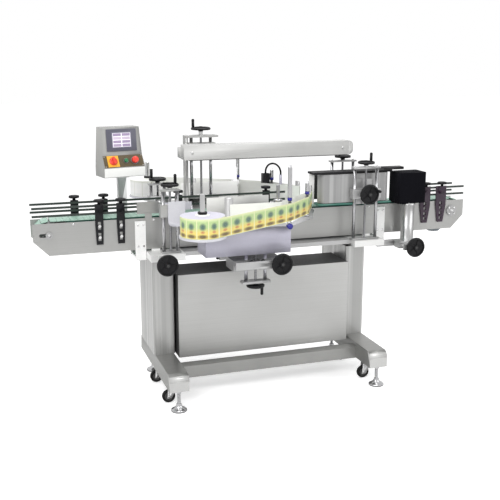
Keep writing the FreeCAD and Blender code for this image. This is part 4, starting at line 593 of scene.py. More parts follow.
class Maker:
    """Collects shapes, given in millimetres, into one mesh with several finishes."""

    def __init__(self, name: str) -> None:
        """Starts an empty piece.

        Args:
            name: The piece's name.
        """
        self.name = name
        self.work = bmesh.new()
        self.chart = self.work.loops.layers.uv.new(CHART)
        self.finishes: list[Finish] = []

    def index(self, finish: Finish) -> int:
        """Index of a finish among the piece's materials."""
        if finish not in self.finishes:
            self.finishes.append(finish)
        return self.finishes.index(finish)

    def lathe(self, finish: Finish, profile: Profile, at: Point, axis: Point = (0, 0, 1),
              steps: int = 48) -> None:
        """Adds a turned shape.

        Args:
            finish: Its finish.
            profile: Closed outline as (radius, height) pairs, height along the axis.
            at: Where height 0 lies.
            axis: Direction of the height.
            steps: Number of sides round the axis.
        """
        turn = turned_to(axis)
        start = Vector(at)
        rings = []
        for radius, height in profile:
            count = steps if radius > 1e-6 else 1
            ring = []
            for step in range(count):
                angle = 2 * math.pi * step / steps
                spot = Vector((radius * math.cos(angle), radius * math.sin(angle), height))
                ring.append(self.work.verts.new((start + turn @ spot) * MM))
            rings.append(ring)
        faces = []
        for first, second in zip(rings, rings[1:] + rings[:1]):
            if len(first) == 1 and len(second) == 1:
                continue
            for step in range(steps):
                a, b = first[step % len(first)], first[(step + 1) % len(first)]
                c, d = second[(step + 1) % len(second)], second[step % len(second)]
                corners = list(dict.fromkeys((a, b, c, d)))
                if len(corners) > 2:
                    faces.append(self.work.faces.new(corners))
        self.paint(faces, finish)

    def bar(self, finish: Finish, low: Point, high: Point, turn: Matrix | None = None,
            about: Point = (0, 0, 0), edge: float = 0.0) -> None:
        """Adds a box, with its edges rounded if edge is given.

        Args:
            finish: Its finish.
            low: Lowest corner, before turning.
            high: Highest corner, before turning.
            turn: Rotation, if any.
            about: Point that the box's coordinates start from.
            edge: Radius of its edges.
        """
        result = bmesh.ops.create_cube(self.work, size=1.0)
        corners = result["verts"]
        middle = (Vector(low) + Vector(high)) / 2
        size = Vector(high) - Vector(low)
        for vert in corners:
            spot = Vector([vert.co[i] * size[i] + middle[i] for i in range(3)])
            if turn is not None:
                spot = turn @ spot
            vert.co = (spot + Vector(about)) * MM
        edges = list({e for v in corners for e in v.link_edges})
        faces = list({f for v in corners for f in v.link_faces})
        if edge > 0:
            self.paint(faces, finish)
            bmesh.ops.bevel(self.work, geom=edges, offset=edge * MM, segments=2, profile=0.7,
                            affect="EDGES", material=self.index(finish))
        self.paint(faces, finish)

    def slab(self, finish: Finish, outline: Sequence[Point], along: Point) -> None:
        """Adds a prism.

        Args:
            finish: Its finish.
            outline: Corners of one end, anticlockwise seen against the extrusion.
            along: Way from that end to the other.
        """
        first = [self.work.verts.new(Vector(p) * MM) for p in outline]
        second = [self.work.verts.new((Vector(p) + Vector(along)) * MM) for p in outline]
        count = len(outline)
        faces = [self.work.faces.new(first[::-1]), self.work.faces.new(second)]
        for i in range(count):
            j = (i + 1) % count
            faces.append(self.work.faces.new((first[i], first[j], second[j], second[i])))
        self.paint(faces, finish)

    def sheet(self, finish: Finish, corners: Sequence[Point],
              charts: Sequence[Pair]) -> None:
        """Adds one flat face with its own chart.

        Args:
            finish: Its finish.
            corners: Its corners, anticlockwise from outside.
            charts: Chart coordinates of the corners.
        """
        face = self.work.faces.new([self.work.verts.new(Vector(p) * MM) for p in corners])
        for loop, chart in zip(face.loops, charts):
            loop[self.chart].uv = chart
        self.paint([face], finish)

    def wall(self, front: Finish, back: Finish, path: Sequence[Pair],
             levels: Pair, thick: float, pitch: float) -> None:
        """Adds an upright strip along a path, with a charted front on its right side.

        Args:
            front: Finish of the right side, charted once per pitch.
            back: Finish of the other faces.
            path: Points of its middle line in plan.
            levels: Lower and upper height.
            thick: Its thickness.
            pitch: Length of one chart repeat.
        """
        rows = []
        travelled = 0.0
        for i, (x, y) in enumerate(path):
            before, after = path[max(i - 1, 0)], path[min(i + 1, len(path) - 1)]
            ahead = Vector((after[0] - before[0], after[1] - before[1])).normalized()
            if i:
                travelled += math.dist(path[i - 1], path[i])
            out = Vector((ahead.y, -ahead.x)) * thick / 2
            rows.append((travelled / pitch, [
                self.work.verts.new(Vector((x + sign * out.x, y + sign * out.y, z)) * MM)
                for sign in (1, -1) for z in levels]))
        fronts, backs = [], []
        for (start, a), (end, b) in zip(rows, rows[1:]):
            face = self.work.faces.new((a[0], b[0], b[1], a[1]))
            for loop, chart in zip(face.loops, ((start, 0), (end, 0), (end, 1), (start, 1))):
                loop[self.chart].uv = chart
            fronts.append(face)
            for m, n in ((1, 3), (3, 2), (2, 0)):
                backs.append(self.work.faces.new((a[m], b[m], b[n], a[n])))
        for row, order in ((rows[0][1], (0, 1, 3, 2)), (rows[-1][1], (0, 2, 3, 1))):
            backs.append(self.work.faces.new([row[k] for k in order]))
        self.paint(fronts, front)
        self.paint(backs, back)

    def thread(self, finish: Finish, start: Point, end: Point, radius: float,
               pitch: float = 5.0, depth: float = 0.8, steps: int = 20) -> None:
        """Adds a threaded rod as a row of fine ridges.

        Args:
            finish: Its finish.
            start: Middle of one end.
            end: Middle of the other end.
            radius: Outer radius of the thread.
            pitch: Distance between ridges.
            depth: Depth of the grooves.
            steps: Number of sides.
        """
        length = math.dist(start, end)
        count = max(1, int(length / pitch))
        profile = [(0.0, 0.0), (radius, 0.0)]
        for ridge in range(count):
            at = length * (ridge + 0.5) / count
            half = pitch * 0.2
            profile += [(radius, at - half), (radius - depth, at), (radius, at + half)]
        profile += [(radius, length), (0.0, length)]
        axis = (Vector(end) - Vector(start)).normalized()
        self.lathe(finish, profile, start, tuple(axis), steps)

    def copies(self, pattern: "Pattern", finish: Finish) -> None:
        """Adds what a pattern makes.

        Args:
            pattern: The repeated template and its places.
            finish: Finish of every copy.
        """
        mesh = pattern.mesh(finish)
        known = len(self.work.faces)
        self.work.from_mesh(mesh)
        self.work.faces.ensure_lookup_table()
        self.paint(self.work.faces[known:], finish)
        bpy.data.meshes.remove(mesh)

    def paint(self, faces: Iterable[bmesh.types.BMFace], finish: Finish) -> None:
        """Gives faces a finish and smooth shading."""
        index = self.index(finish)
        for face in faces:
            if face.is_valid:
                face.material_index = index
                face.smooth = True

    def mesh(self, smooth: float = SMOOTH) -> bpy.types.Mesh:
        """Returns the collected mesh with outward faces and sharp edges by angle.

        Args:
            smooth: Angle in degrees under which neighbouring faces shade as one.
        """
        bmesh.ops.recalc_face_normals(self.work, faces=self.work.faces)
        mesh = bpy.data.meshes.new(self.name)
        self.work.to_mesh(mesh)
        self.work.free()
        for finish in self.finishes:
            mesh.materials.append(finish.material())
        mesh.set_sharp_from_angle(angle=math.radians(smooth))
        return mesh

    def piece(self, node: str, *replaced: str) -> bpy.types.Object:
        """Finishes the piece and rides it on a node's body.

        Args:
            node: A CAD node on the same body.
            *replaced: CAD nodes that the piece stands for.

        Returns:
            The piece.
        """
        return settle(link(self.name, self.mesh()), node, *replaced)


@dataclass
class Place:
    """Where one copy stands, in millimetres, and how it is turned."""

    at: Point
    turn: Point = (0.0, 0.0, 0.0)


@dataclass
class Pattern:
    """Copies of a small template, made by Geometry Nodes."""

    template: Maker
    places: list[Place]

    def tree(self) -> bpy.types.NodeTree:
        """Node tree that puts the template on every point and realizes the copies."""
        tree = bpy.data.node_groups.new("pattern", "GeometryNodeTree")
        for name, way, kind in (("Geometry", "INPUT", "Geometry"),
                                ("Template", "INPUT", "Object"),
                                ("Finish", "INPUT", "Material"),
                                ("Geometry", "OUTPUT", "Geometry")):
            tree.interface.new_socket(name, in_out=way, socket_type="NodeSocket" + kind)
        add = tree.nodes.new
        entry, leave = add("NodeGroupInput"), add("NodeGroupOutput")
        source, turn = add("GeometryNodeObjectInfo"), add("GeometryNodeInputNamedAttribute")
        turn.data_type = "FLOAT_VECTOR"
        turn.inputs["Name"].default_value = "turn"
        euler, copy = add("FunctionNodeEulerToRotation"), add("GeometryNodeInstanceOnPoints")
        real, coat = add("GeometryNodeRealizeInstances"), add("GeometryNodeSetMaterial")
        for giver, output, taker, entrance in (
                (entry, "Template", source, "Object"), (entry, "Geometry", copy, "Points"),
                (source, "Geometry", copy, "Instance"), (turn, "Attribute", euler, "Euler"),
                (euler, "Rotation", copy, "Rotation"), (copy, "Instances", real, "Geometry"),
                (real, "Geometry", coat, "Geometry"), (entry, "Finish", coat, "Material"),
                (coat, "Geometry", leave, "Geometry")):
            tree.links.new(giver.outputs[output], taker.inputs[entrance])
        return tree

    def mesh(self, finish: Finish) -> bpy.types.Mesh:
        """Applies the tree and returns its result.

        Args:
            finish: Finish of the copies.

        Returns:
            One mesh with every copy.
        """
        template = link("template", self.template.mesh())
        points = bpy.data.meshes.new("places")
        points.from_pydata([tuple(Vector(p.at) * MM) for p in self.places], [], [])
        turns = points.attributes.new("turn", "FLOAT_VECTOR", "POINT")
        for item, place in zip(turns.data, self.places):
            item.vector = place.turn
        carrier = link("places", points)
        tree = self.tree()
        nodes = carrier.modifiers.new("pattern", "NODES")
        nodes.node_group = tree
        values = {"Template": template, "Finish": finish.material()}
        for item in tree.interface.items_tree:
            if item.in_out == "INPUT" and item.name in values:
                nodes[item.identifier] = values[item.name]
        carrier.update_tag()
        bpy.context.view_layer.update()
        graph = bpy.context.evaluated_depsgraph_get()
        result = bpy.data.meshes.new_from_object(carrier.evaluated_get(graph))
        carrier.modifiers.remove(nodes)
        for thing in (carrier, template):
            mesh = thing.data
            bpy.data.objects.remove(thing)
            bpy.data.meshes.remove(mesh)
        bpy.data.node_groups.remove(tree)
        return result


@dataclass
class Studio:
    """Camera at the photograph's angle, soft lamps, pale floor and pale surroundings."""

    eye: Point = (-1687.0, -4812.0, 1948.0)
    pitch: float = 13.09
    yaw: float = 18.54
    roll: float = 0.11
    lens: float = 60.7
    floor_size: float = 60.0
    floor_gap: float = 0.0005
    floor_glow: float = 0.5
    ambient: float = 0.62

    def camera(self) -> None:
        """Places the camera."""
        data = bpy.data.cameras.new("photo_camera")
        data.lens = self.lens
        data.sensor_width = 36.0
        data.clip_end = 100.0
        camera = bpy.data.objects.new("photo_camera", data)
        turn = (Matrix.Rotation(math.radians(-self.yaw), 4, "Z")
                @ Matrix.Rotation(math.radians(90.0 - self.pitch), 4, "X")
                @ Matrix.Rotation(math.radians(self.roll), 4, "Z"))
        camera.matrix_world = Matrix.Translation(Vector(self.eye) * MM) @ turn
        bpy.context.scene.collection.objects.link(camera)
        bpy.context.scene.camera = camera

    def lamp(self, name: str, at: Point, aim: Point, size: float, power: float) -> None:
        """Adds a soft square lamp.

        Args:
            name: Its name.
            at: Its place in metres.
            aim: The point that it faces, in metres.
            size: Its side in metres.
            power: Its power in watts.
        """
        data = bpy.data.lights.new(name, "AREA")
        data.size = size
        data.energy = power
        lamp = bpy.data.objects.new(name, data)
        lamp.location = at
        lamp.rotation_euler = (Vector(aim) - Vector(at)).to_track_quat("-Z", "Y").to_euler()
        bpy.context.scene.collection.objects.link(lamp)

    def surroundings(self) -> None:
        """Sets a plain world: soft light on the object, white where it is seen or mirrored."""
        world = bpy.data.worlds.new("pale_room")
        world.use_nodes = True
        bpy.context.scene.world = world
        tree = world.node_tree
        back = tree.nodes["Background"]
        rays = tree.nodes.new("ShaderNodeLightPath")
        seen = rays.outputs["Is Camera Ray"]
        for kind in ("Is Transmission Ray", "Is Glossy Ray"):
            either = tree.nodes.new("ShaderNodeMath")
            either.operation = "MAXIMUM"
            tree.links.new(seen, either.inputs[0])
            tree.links.new(rays.outputs[kind], either.inputs[1])
            seen = either.outputs[0]
        strength = tree.nodes.new("ShaderNodeMapRange")
        tree.links.new(seen, strength.inputs["Value"])
        strength.inputs["To Min"].default_value = self.ambient
        strength.inputs["To Max"].default_value = 1.0
        tree.links.new(strength.outputs["Result"], back.inputs["Strength"])
        back.inputs["Color"].default_value = (1.0, 1.0, 1.0, 1.0)

    def floor(self) -> None:
        """Adds a white floor that keeps the object's shadow."""
        wires = Wiring("pale_floor")
        wires.set(Base_Color=(0.9, 0.9, 0.9), Roughness=0.9, Specular_IOR_Level=0.1)
        shader = wires.shader.outputs[0]
        rays = wires.add("LightPath")
        glow = wires.add("Emission", Color=(1.0, 1.0, 1.0, 1.0), Strength=self.floor_glow)
        both = wires.add("AddShader", shader, glow.outputs[0])
        seen = wires.add("MixShader", rays.outputs["Is Camera Ray"], shader, both.outputs[0])
        output = wires.tree.nodes["Material Output"]
        wires.feed(output.inputs["Surface"], seen.outputs[0])
        half = self.floor_size / 2
        mesh = bpy.data.meshes.new("floor")
        corners = [(x, y, -self.floor_gap) for x, y in ((-half, -half), (half, -half),
                                                        (half, half), (-half, half))]
        mesh.from_pydata(corners, [], [(0, 1, 2, 3)])
        mesh.materials.append(wires.material)
        link("floor", mesh)

    def build(self) -> None:
        """Builds the studio."""
        bpy.context.scene.view_settings.view_transform = "Standard"
        self.camera()
        self.surroundings()
        self.lamp("key", (-3.2, -3.6, 4.2), (0.0, 0.0, 0.7), 2.6, 150.0)
        self.lamp("fill", (3.8, -3.2, 2.6), (0.1, 0.0, 0.8), 3.0, 60.0)
        self.lamp("top", (0.0, 0.6, 4.6), (0.0, 0.0, 0.8), 3.2, 110.0)
        self.floor()


def hexagon(maker: Maker, finish: Finish, at: Point, axis: Point, across: float,
            height: float) -> None:
    """Adds a hexagon head with a chamfered face.

    Args:
        maker: The piece that it joins.
        finish: Its finish.
        at: Middle of its seat.
        axis: Way that it stands out.
        across: Radius over its corners.
        height: Its height.
    """
    maker.lathe(finish, [(0, 0), (across, 0), (across, height * 0.85), (across * 0.86, height),
                         (0, height)], at, axis, 6)


def bolt(radius: float, height: float) -> Maker:
    """Hexagon bolt head with a washer, standing up from the origin.

    Args:
        radius: Radius over the head's corners.
        height: Height of the head.

    Returns:
        The template.
    """
    washer = 1.2
    maker = Maker("bolt")
    maker.lathe(Finishes.BRIGHT, rod(radius * 1.3, 0, washer), (0, 0, 0), steps=16)
    hexagon(maker, Finishes.BRIGHT, (0, 0, washer), (0, 0, 1), radius, height)
    return maker


def socket_screw(radius: float) -> Maker:
    """Round cap screw with a hollow, standing up from the origin.

    Args:
        radius: Radius of the head.

    Returns:
        The template.
    """
    maker = Maker("socket_screw")
    maker.lathe(Finishes.BRIGHT, [(0, 0), (radius, 0), (radius, radius * 0.8),
                                  (radius * 0.8, radius), (radius * 0.5, radius),
                                  (radius * 0.5, radius * 0.4), (0, radius * 0.4)],
                (0, 0, 0), steps=16)
    return maker


TO_FRONT = (math.pi / 2, 0.0, 0.0)
TO_BACK = (-math.pi / 2, 0.0, 0.0)
DOWNWARDS = (math.pi, 0.0, 0.0)


def fasteners(name: str, node: str, template: Maker, places: Iterable[Place]) -> None:
    """One piece with the same fastener at many places.

    Args:
        name: The piece's name.
        node: A CAD node on the same body.
        template: The fastener.
        places: Where it is repeated.
    """
    maker = Maker(name)
    maker.copies(Pattern(template, list(places)), Finishes.BRIGHT)
    maker.piece(node)


@dataclass(frozen=True)
class Wheel:
    """Moulded hand wheel on its screw, with ribs, a steel cap and perhaps a handle."""

    node: str
    at: Point
    axis: Point
    radius: float
    screw: tuple[Point, Point]
    screw_radius: float
    handle: Point | None = None
    collar: tuple[Point, float] | None = None
    ribs: int = 5
    finish: Finish | None = None

    def build(self) -> None:
        """Makes the piece in place of its CAD node."""
        maker = Maker("wheel_" + self.node)
        self.add_to(maker)
        maker.piece(self.node, self.node)

    def add_to(self, maker: Maker) -> None:
        """Adds the wheel's shapes.

        Args:
            maker: The piece that takes them.
        """
        black = self.finish or Finishes.BLACK
        rim = 0.17 * self.radius
        web = self.radius - rim
        maker.lathe(black, [(0, 0.2), (14, 0.2), (15, 1.5), (15, 9), (18, 10.6), (web, 11.5),
                            (web + 1, 10.4), (self.radius - 3, 10.2), (self.radius, 13),
                            (self.radius, 20), (self.radius - 2.5, 23.5), (web + 1.5, 25.8),
                            (web, 24.5), (web - 1, 17.6), (19, 16.4), (15.5, 20), (14.5, 29),
                            (13, 30), (0, 30)], self.at, self.axis, 64)
        maker.lathe(Finishes.DARK_STEEL_AND_SHADE, [(0, 29), (8.5, 29), (8.5, 30.6), (7.5, 31.4), (0, 31.4)],
                    self.at, self.axis, 24)
        turn = turned_to(self.axis)
        for rib in range(self.ribs):
            spin = turn @ Matrix.Rotation(2 * math.pi * rib / self.ribs, 3, "Z")
            maker.bar(black, (16, -3.2, 15), (web + 1, 3.2, 21.5), spin, self.at, 1.2)
        if self.handle is not None:
            maker.lathe(Finishes.BRIGHT, rod(5, -4, 6), self.handle, self.axis, 20)
            maker.lathe(black, [(0, 4), (6, 4), (7.6, 6), (9, 14), (8.3, 32), (9, 48),
                                (7.4, 54), (4, 56), (0, 56)], self.handle, self.axis, 28)
        if self.collar is not None:
            at, height = self.collar
            maker.lathe(Finishes.BRIGHT, [(0, 0), (13, 0), (13, height - 1), (12, height),
                                          (0, height)], at, self.axis, 28)
        maker.thread(Finishes.SCREW, *self.screw, self.screw_radius)


@dataclass
class Base:
    """Rails, beams, feet and casters."""

    rail_x: Pair = (-662.0, 562.0)
    foot_y: Pair = (-512.0, 150.0)
    caster_y: Pair = (-385.0, -60.0)
    rail_bottom: float = 117.0
    wheel_radius: float = 38.0
    wheel_middle: float = 41.0
    trail: float = 30.0
    rail_over: Pair = (8.0, 99.0)
    rail_z: Pair = (100.0, 204.0)
    bolt_gap: float = 28.0
    plate: float = 5.0

    def build(self) -> None:
        """Dresses the base and makes feet and wheels."""
        front, back = self.foot_y[0] - self.rail_over[0], self.foot_y[1] + self.rail_over[1]
        dressed("base_frame", Finishes.BASE, *(Zone(Finishes.RAIL_END, y=end, z=self.rail_z)
                                               for end in ((-FAR, front), (back, FAR))))
        self.feet()
        for x, hand in zip(self.rail_x, ("left", "right")):
            for y, end in zip(self.caster_y, ("front", "rear")):
                dressed(f"caster_fork_{end}_{hand}", Finishes.PLATE)
                self.tyre(f"caster_wheel_{end}_{hand}", (x - self.trail, y, self.wheel_middle))
        corners = [Place((x + dx, y + dy, self.rail_bottom - self.plate), DOWNWARDS)
                   for x in self.rail_x for y in self.caster_y
                   for dx in (-self.bolt_gap, self.bolt_gap)
                   for dy in (-self.bolt_gap, self.bolt_gap)]
        fasteners("caster_bolts", "base_frame", bolt(6.0, 4.5), corners)

    def feet(self) -> None:
        """Levelling feet: domed pad, threaded rod and two jam nuts each."""
        maker = Maker("feet")
        top = self.rail_bottom + 26.0
        for x in self.rail_x:
            for y in self.foot_y:
                maker.lathe(Finishes.RUBBER, [(0, 0), (44, 0), (45, 1), (45, 4), (0, 4)],
                            (x, y, 0))
                maker.lathe(Finishes.CHROME, [(0, 4), (45, 4), (45, 8), (43, 10), (34, 14),
                                              (25, 20), (18, 28), (15.5, 36), (15, 41),
                                              (12, 44), (0, 44)], (x, y, 0))
                maker.thread(Finishes.CHROME, (x, y, 43), (x, y, top), 10.0, 4.0)
                for under in (self.rail_bottom - 10.5, self.rail_bottom + 6):
                    hexagon(maker, Finishes.CHROME, (x, y, under), (0, 0, 1), 17, 10)
        maker.piece("levelling_feet", "levelling_feet")

    def tyre(self, node: str, at: Point) -> None:
        """Makes one caster wheel: tyre, hub and bearing cap.

        Args:
            node: Its CAD node.
            at: Its middle.
        """
        r = self.wheel_radius
        maker = Maker("tyre_" + node)
        maker.lathe(Finishes.RUBBER, [(24, -10), (r - 5, -12), (r - 1.5, -10), (r, -6), (r, 6),
                                      (r - 1.5, 10), (r - 5, 12), (24, 10)], at, (0, 1, 0), 56)
        maker.lathe(Finishes.HUB, [(5.1, -11.5), (12, -11.5), (13, -9), (22, -8), (24.5, -10.5),
                                   (24.5, 10.5), (22, 8), (13, 9), (12, 11.5), (5.1, 11.5)],
                    at, (0, 1, 0), 40)
        maker.piece(node, node)


@dataclass
class Cabinet:
    """Columns, case, front panel, rear door and what is inside."""

    louvre_top: float = 500.0
    louvre_step: float = 18.0
    louvre_rows: int = 9
    louvre_x: Pair = (-330.0, 130.0)
    louvre_half: float = 90.0
    door_face: float = 36.3
    gland: Box = ((300, 450), (-100, 0), (170, 204.5))
    latch: Box = ((380, 470), (36.5, 90), (350, 450))
    plate_face: float = -201.5
    rail_x: Pair = (-500.0, 500.0)
    terminal_z: Pair = (385.0, 435.0)
    duct_z: Pair = (295.0, 350.0)
    drives_x: tuple[float, ...] = (-470.0, -330.0, -190.0)
    fin_count: int = 10
    fin_pitch: float = 10.0
    terminal_count: int = 84
    terminal_pitch: float = 9.0

    def build(self) -> None:
        """Dresses the cabinet and adds louvres and cooling fins."""
        depth = (-FAR, -100.0)
        dressed("side_columns", Finishes.COLUMN)
        # The case is painted near black as painted shade: its top lies in shadow under the heads
        # and its sides in the gaps beside the front panel.
        dressed("cabinet_shell", Finishes.DARK_STEEL_AND_SHADE, Zone(Finishes.BLACK, *self.gland))
        dressed("front_panel", Finishes.PANEL)
        dressed("rear_door", Finishes.PANEL, Zone(Finishes.BLACK, *self.latch))
        dressed("electrical_plate", Finishes.MODULE,
                Zone(Finishes.PLATE, y=(-FAR, self.plate_face)),
                Zone(Finishes.TERMINAL, self.rail_x, depth, self.terminal_z),
                Zone(Finishes.DUCT, self.rail_x, depth, self.duct_z))
        dressed("bridge_channels", Finishes.BRIDGE, Zone(Finishes.PLATE, (-534, 534)))
        self.louvres()
        self.fins()

    def louvres(self) -> None:
        """Rows of pressed louvres on the rear door."""
        half = self.louvre_half
        template = Maker("louvre")
        template.slab(Finishes.PANEL, [(-half, 0, 0), (-half, 5, -1), (-half, 6, -9),
                                       (-half, 0, -11)], (2 * half, 0, 0))
        maker = Maker("door_louvres")
        places = [Place((x, self.door_face, self.louvre_top - row * self.louvre_step))
                  for x in self.louvre_x for row in range(self.louvre_rows)]
        maker.copies(Pattern(template, places), Finishes.PANEL)
        maker.piece("rear_door")

    def fins(self) -> None:
        """Cooling fins and terminals on the plate inside the cabinet."""
        template = Maker("fin")
        template.bar(Finishes.MODULE, (-1, -2, 0), (1, 3, 150))
        places = [Place((left + self.fin_pitch * (fin + 1), -72.5, 470))
                  for left in self.drives_x for fin in range(self.fin_count)]
        maker = Maker("drive_fins")
        maker.copies(Pattern(template, places), Finishes.MODULE)
        block = Maker("terminal")
        block.bar(Finishes.TERMINAL, (-3.2, 0, -16), (3.2, 7, 16), edge=1.0)
        places = [Place((-430 + self.terminal_pitch * at, -142.2, 410))
                  for at in range(self.terminal_count)]
        maker.copies(Pattern(block, places), Finishes.TERMINAL)
        maker.piece("electrical_plate")


@dataclass
class Conveyor:
    """Side plates, slat chain, shafts, motor, cradles and guides."""

    shaft_x: float = 1285.0
    side: float = 78.0
    pitch: float = 38.1
    chain_top: float = 1034.0
    chain_radius: float = 79.0
    slat_half: float = 65.0
    front_brackets: tuple[float, ...] = (-1004.0, -881.0, 1087.0, 1202.0)
    rear_brackets: tuple[float, ...] = (-1120.0, -950.0, -500.0, 60.0, 1150.0)
    bracket_top: float = 1120.0
    knob_y: float = 92.0
    knob_lobes: int = 10
    casting_x: float = 1200.0
    casting_z: Pair = (900.0, 1000.0)
    wear_strip: Box = ((-FAR, FAR), (-60, 60), (1019, FAR))
    guide_plate: Box = ((-786, -654), (-FAR, -60), (-FAR, FAR))
    infeed_clamps: Box = ((-FAR, 1000), (-94.5, -88.3), (915, 1006))
    outfeed_brackets: Box = ((1030, FAR), (-FAR, -60), (-FAR, 1119))
    screw_x: tuple[float, ...] = (-1150.0, -690.0, -230.0, 230.0, 690.0)
    screw_z: float = 1011.0
    bearing_bolts: float = 26.0
    cradle_x: float = 770.0
    cradle_bolts: Box = ((-16, 16), (-86, 86), (860, 985))

    def build(self) -> None:
        """Dresses the conveyor and makes its slats, knobs and screws."""
        face = self.side + 0.2
        castings = [Zone(Finishes.CAST, end, (-FAR, -face), self.casting_z)
                    for end in ((-FAR, -self.casting_x), (self.casting_x, FAR))]
        dressed("conveyor_side_plates", Finishes.SIDE, *castings,
                Zone(Finishes.CAST, y=(face, FAR), z=self.casting_z))
        dressed("conveyor_cross_ties", Finishes.BRIGHT,
                Zone(Finishes.GREEN_EDGE, *self.wear_strip))
        for node, finish in (("conveyor_drive_shaft", Finishes.PLATE),
                             ("conveyor_tail_shaft", Finishes.PLATE),
                             ("conveyor_gearmotor", Finishes.MOTOR),
                             ("conveyor_supports", Finishes.CRADLE)):
            dressed(node, finish)
        dressed("guide_rails", Finishes.GUIDE, Zone(Finishes.SIDE, *self.guide_plate))
        dressed("guide_brackets", Finishes.BRACKET,
                Zone(Finishes.BRIGHT, *self.infeed_clamps),
                Zone(Finishes.OUTFEED_BRACKET, *self.outfeed_brackets),
                Zone(Finishes.BLACK, z=(self.bracket_top, FAR)))
        self.slats()
        self.grips()
        self.screws()
        self.motor_fins()

    def slat_places(self) -> list[Place]:
        """Places of the slats along both runs and round both ends."""
        middle = self.chain_top - self.chain_radius
        count = int(2 * self.shaft_x / self.pitch)
        first = -count * self.pitch / 2
        places = []
        for index in range(count):
            x = first + (index + 0.5) * self.pitch
            places.append(Place((x, 0, self.chain_top)))
            places.append(Place((x, 0, self.chain_top - 2 * self.chain_radius),
                                (0, math.pi, 0)))
        round_end = 6
        for side in (-1, 1):
            for index in range(round_end):
                angle = side * math.pi * (index + 0.5) / round_end
                places.append(Place((side * self.shaft_x + self.chain_radius * math.sin(angle),
                                     0, middle + self.chain_radius * math.cos(angle)),
                                    (0, angle, 0)))
        return places

    def slats(self) -> None:
        """Slat chain: one plate with rounded edges and a hinge barrel at each pitch."""
        plate = Maker("slat")
        plate.bar(Finishes.SLAT, (-self.pitch / 2 + 0.7, -self.slat_half, -4.6),
                  (self.pitch / 2 - 0.7, self.slat_half, -0.2), edge=1.4)
        for y in (-38, 30):
            plate.lathe(Finishes.SLAT, rod(4, 0, 16), (self.pitch / 2, y - 4, -6.2), (0, 1, 0), 10)
        maker = Maker("slats")
        maker.copies(Pattern(plate, self.slat_places()), Finishes.SLAT)
        maker.piece("slat_chain", "slat_chain")

    def knob_places(self) -> list[Point]:
        """Middles of the bracket knobs' undersides."""
        level = self.bracket_top + 14
        return ([(x, -self.knob_y, level) for x in self.front_brackets]
                + [(x, self.knob_y, level) for x in self.rear_brackets])

    def grips(self) -> None:
        """Rounded top and grip lobes of every bracket knob."""
        lobe = Maker("lobe")
        lobe.lathe(Finishes.BLACK, [(0, 0.5), (3.6, 0.5), (4.4, 2), (4.4, 10), (3.2, 12.4),
                                    (0, 12.6)], (26, 0, 0), steps=12)
        maker = Maker("knob_grips")
        places = [Place(at, (0, 0, math.tau * k / self.knob_lobes)) for at in self.knob_places()
                  for k in range(self.knob_lobes)]
        maker.copies(Pattern(lobe, places), Finishes.BLACK)
        cap = Maker("knob_cap")
        cap.lathe(Finishes.BLACK, [(0, 13), (22, 13), (20, 14.6), (10, 15.6), (0, 15.8)],
                  (0, 0, 0), steps=32)
        maker.copies(Pattern(cap, [Place(at) for at in self.knob_places()]), Finishes.BLACK)
        maker.piece("guide_brackets")

    def screws(self) -> None:
        """Socket screws along the side plates, round the bearings and on the cradles."""
        faces = ((-self.side, TO_FRONT), (self.side, TO_BACK))
        places = [Place((x, y, self.screw_z), turn) for y, turn in faces for x in self.screw_x]
        middle = self.chain_top - self.chain_radius
        for k in range(4):
            angle = math.pi * (k + 0.5) / 2
            places.append(Place((self.shaft_x + self.bearing_bolts * math.cos(angle),
                                 -self.side - 12,
                                 middle + self.bearing_bolts * math.sin(angle)), TO_FRONT))
        across, out, heights = self.cradle_bolts
        places += [Place((x + dx, y, z), turn) for x in (-self.cradle_x, self.cradle_x)
                   for dx in across for z in heights for y, turn in zip(out, (TO_FRONT, TO_BACK))]
        fasteners("conveyor_screws", "conveyor_side_plates", socket_screw(6.0), places)

    def motor_fins(self) -> None:
        """Cooling fins round the motor."""
        count = 24
        fin = Maker("motor_fin")
        fin.bar(Finishes.MOTOR, (42, -1.2, 0), (50, 1.2, 96), edge=0.6)
        at = (self.shaft_x, self.side + 54, self.chain_top - self.chain_radius - 162)
        places = [Place(at, (0, 0, math.tau * k / count)) for k in range(count)]
        maker = Maker("motor_fins")
        maker.copies(Pattern(fin, places), Finishes.MOTOR)
        maker.piece("conveyor_gearmotor")


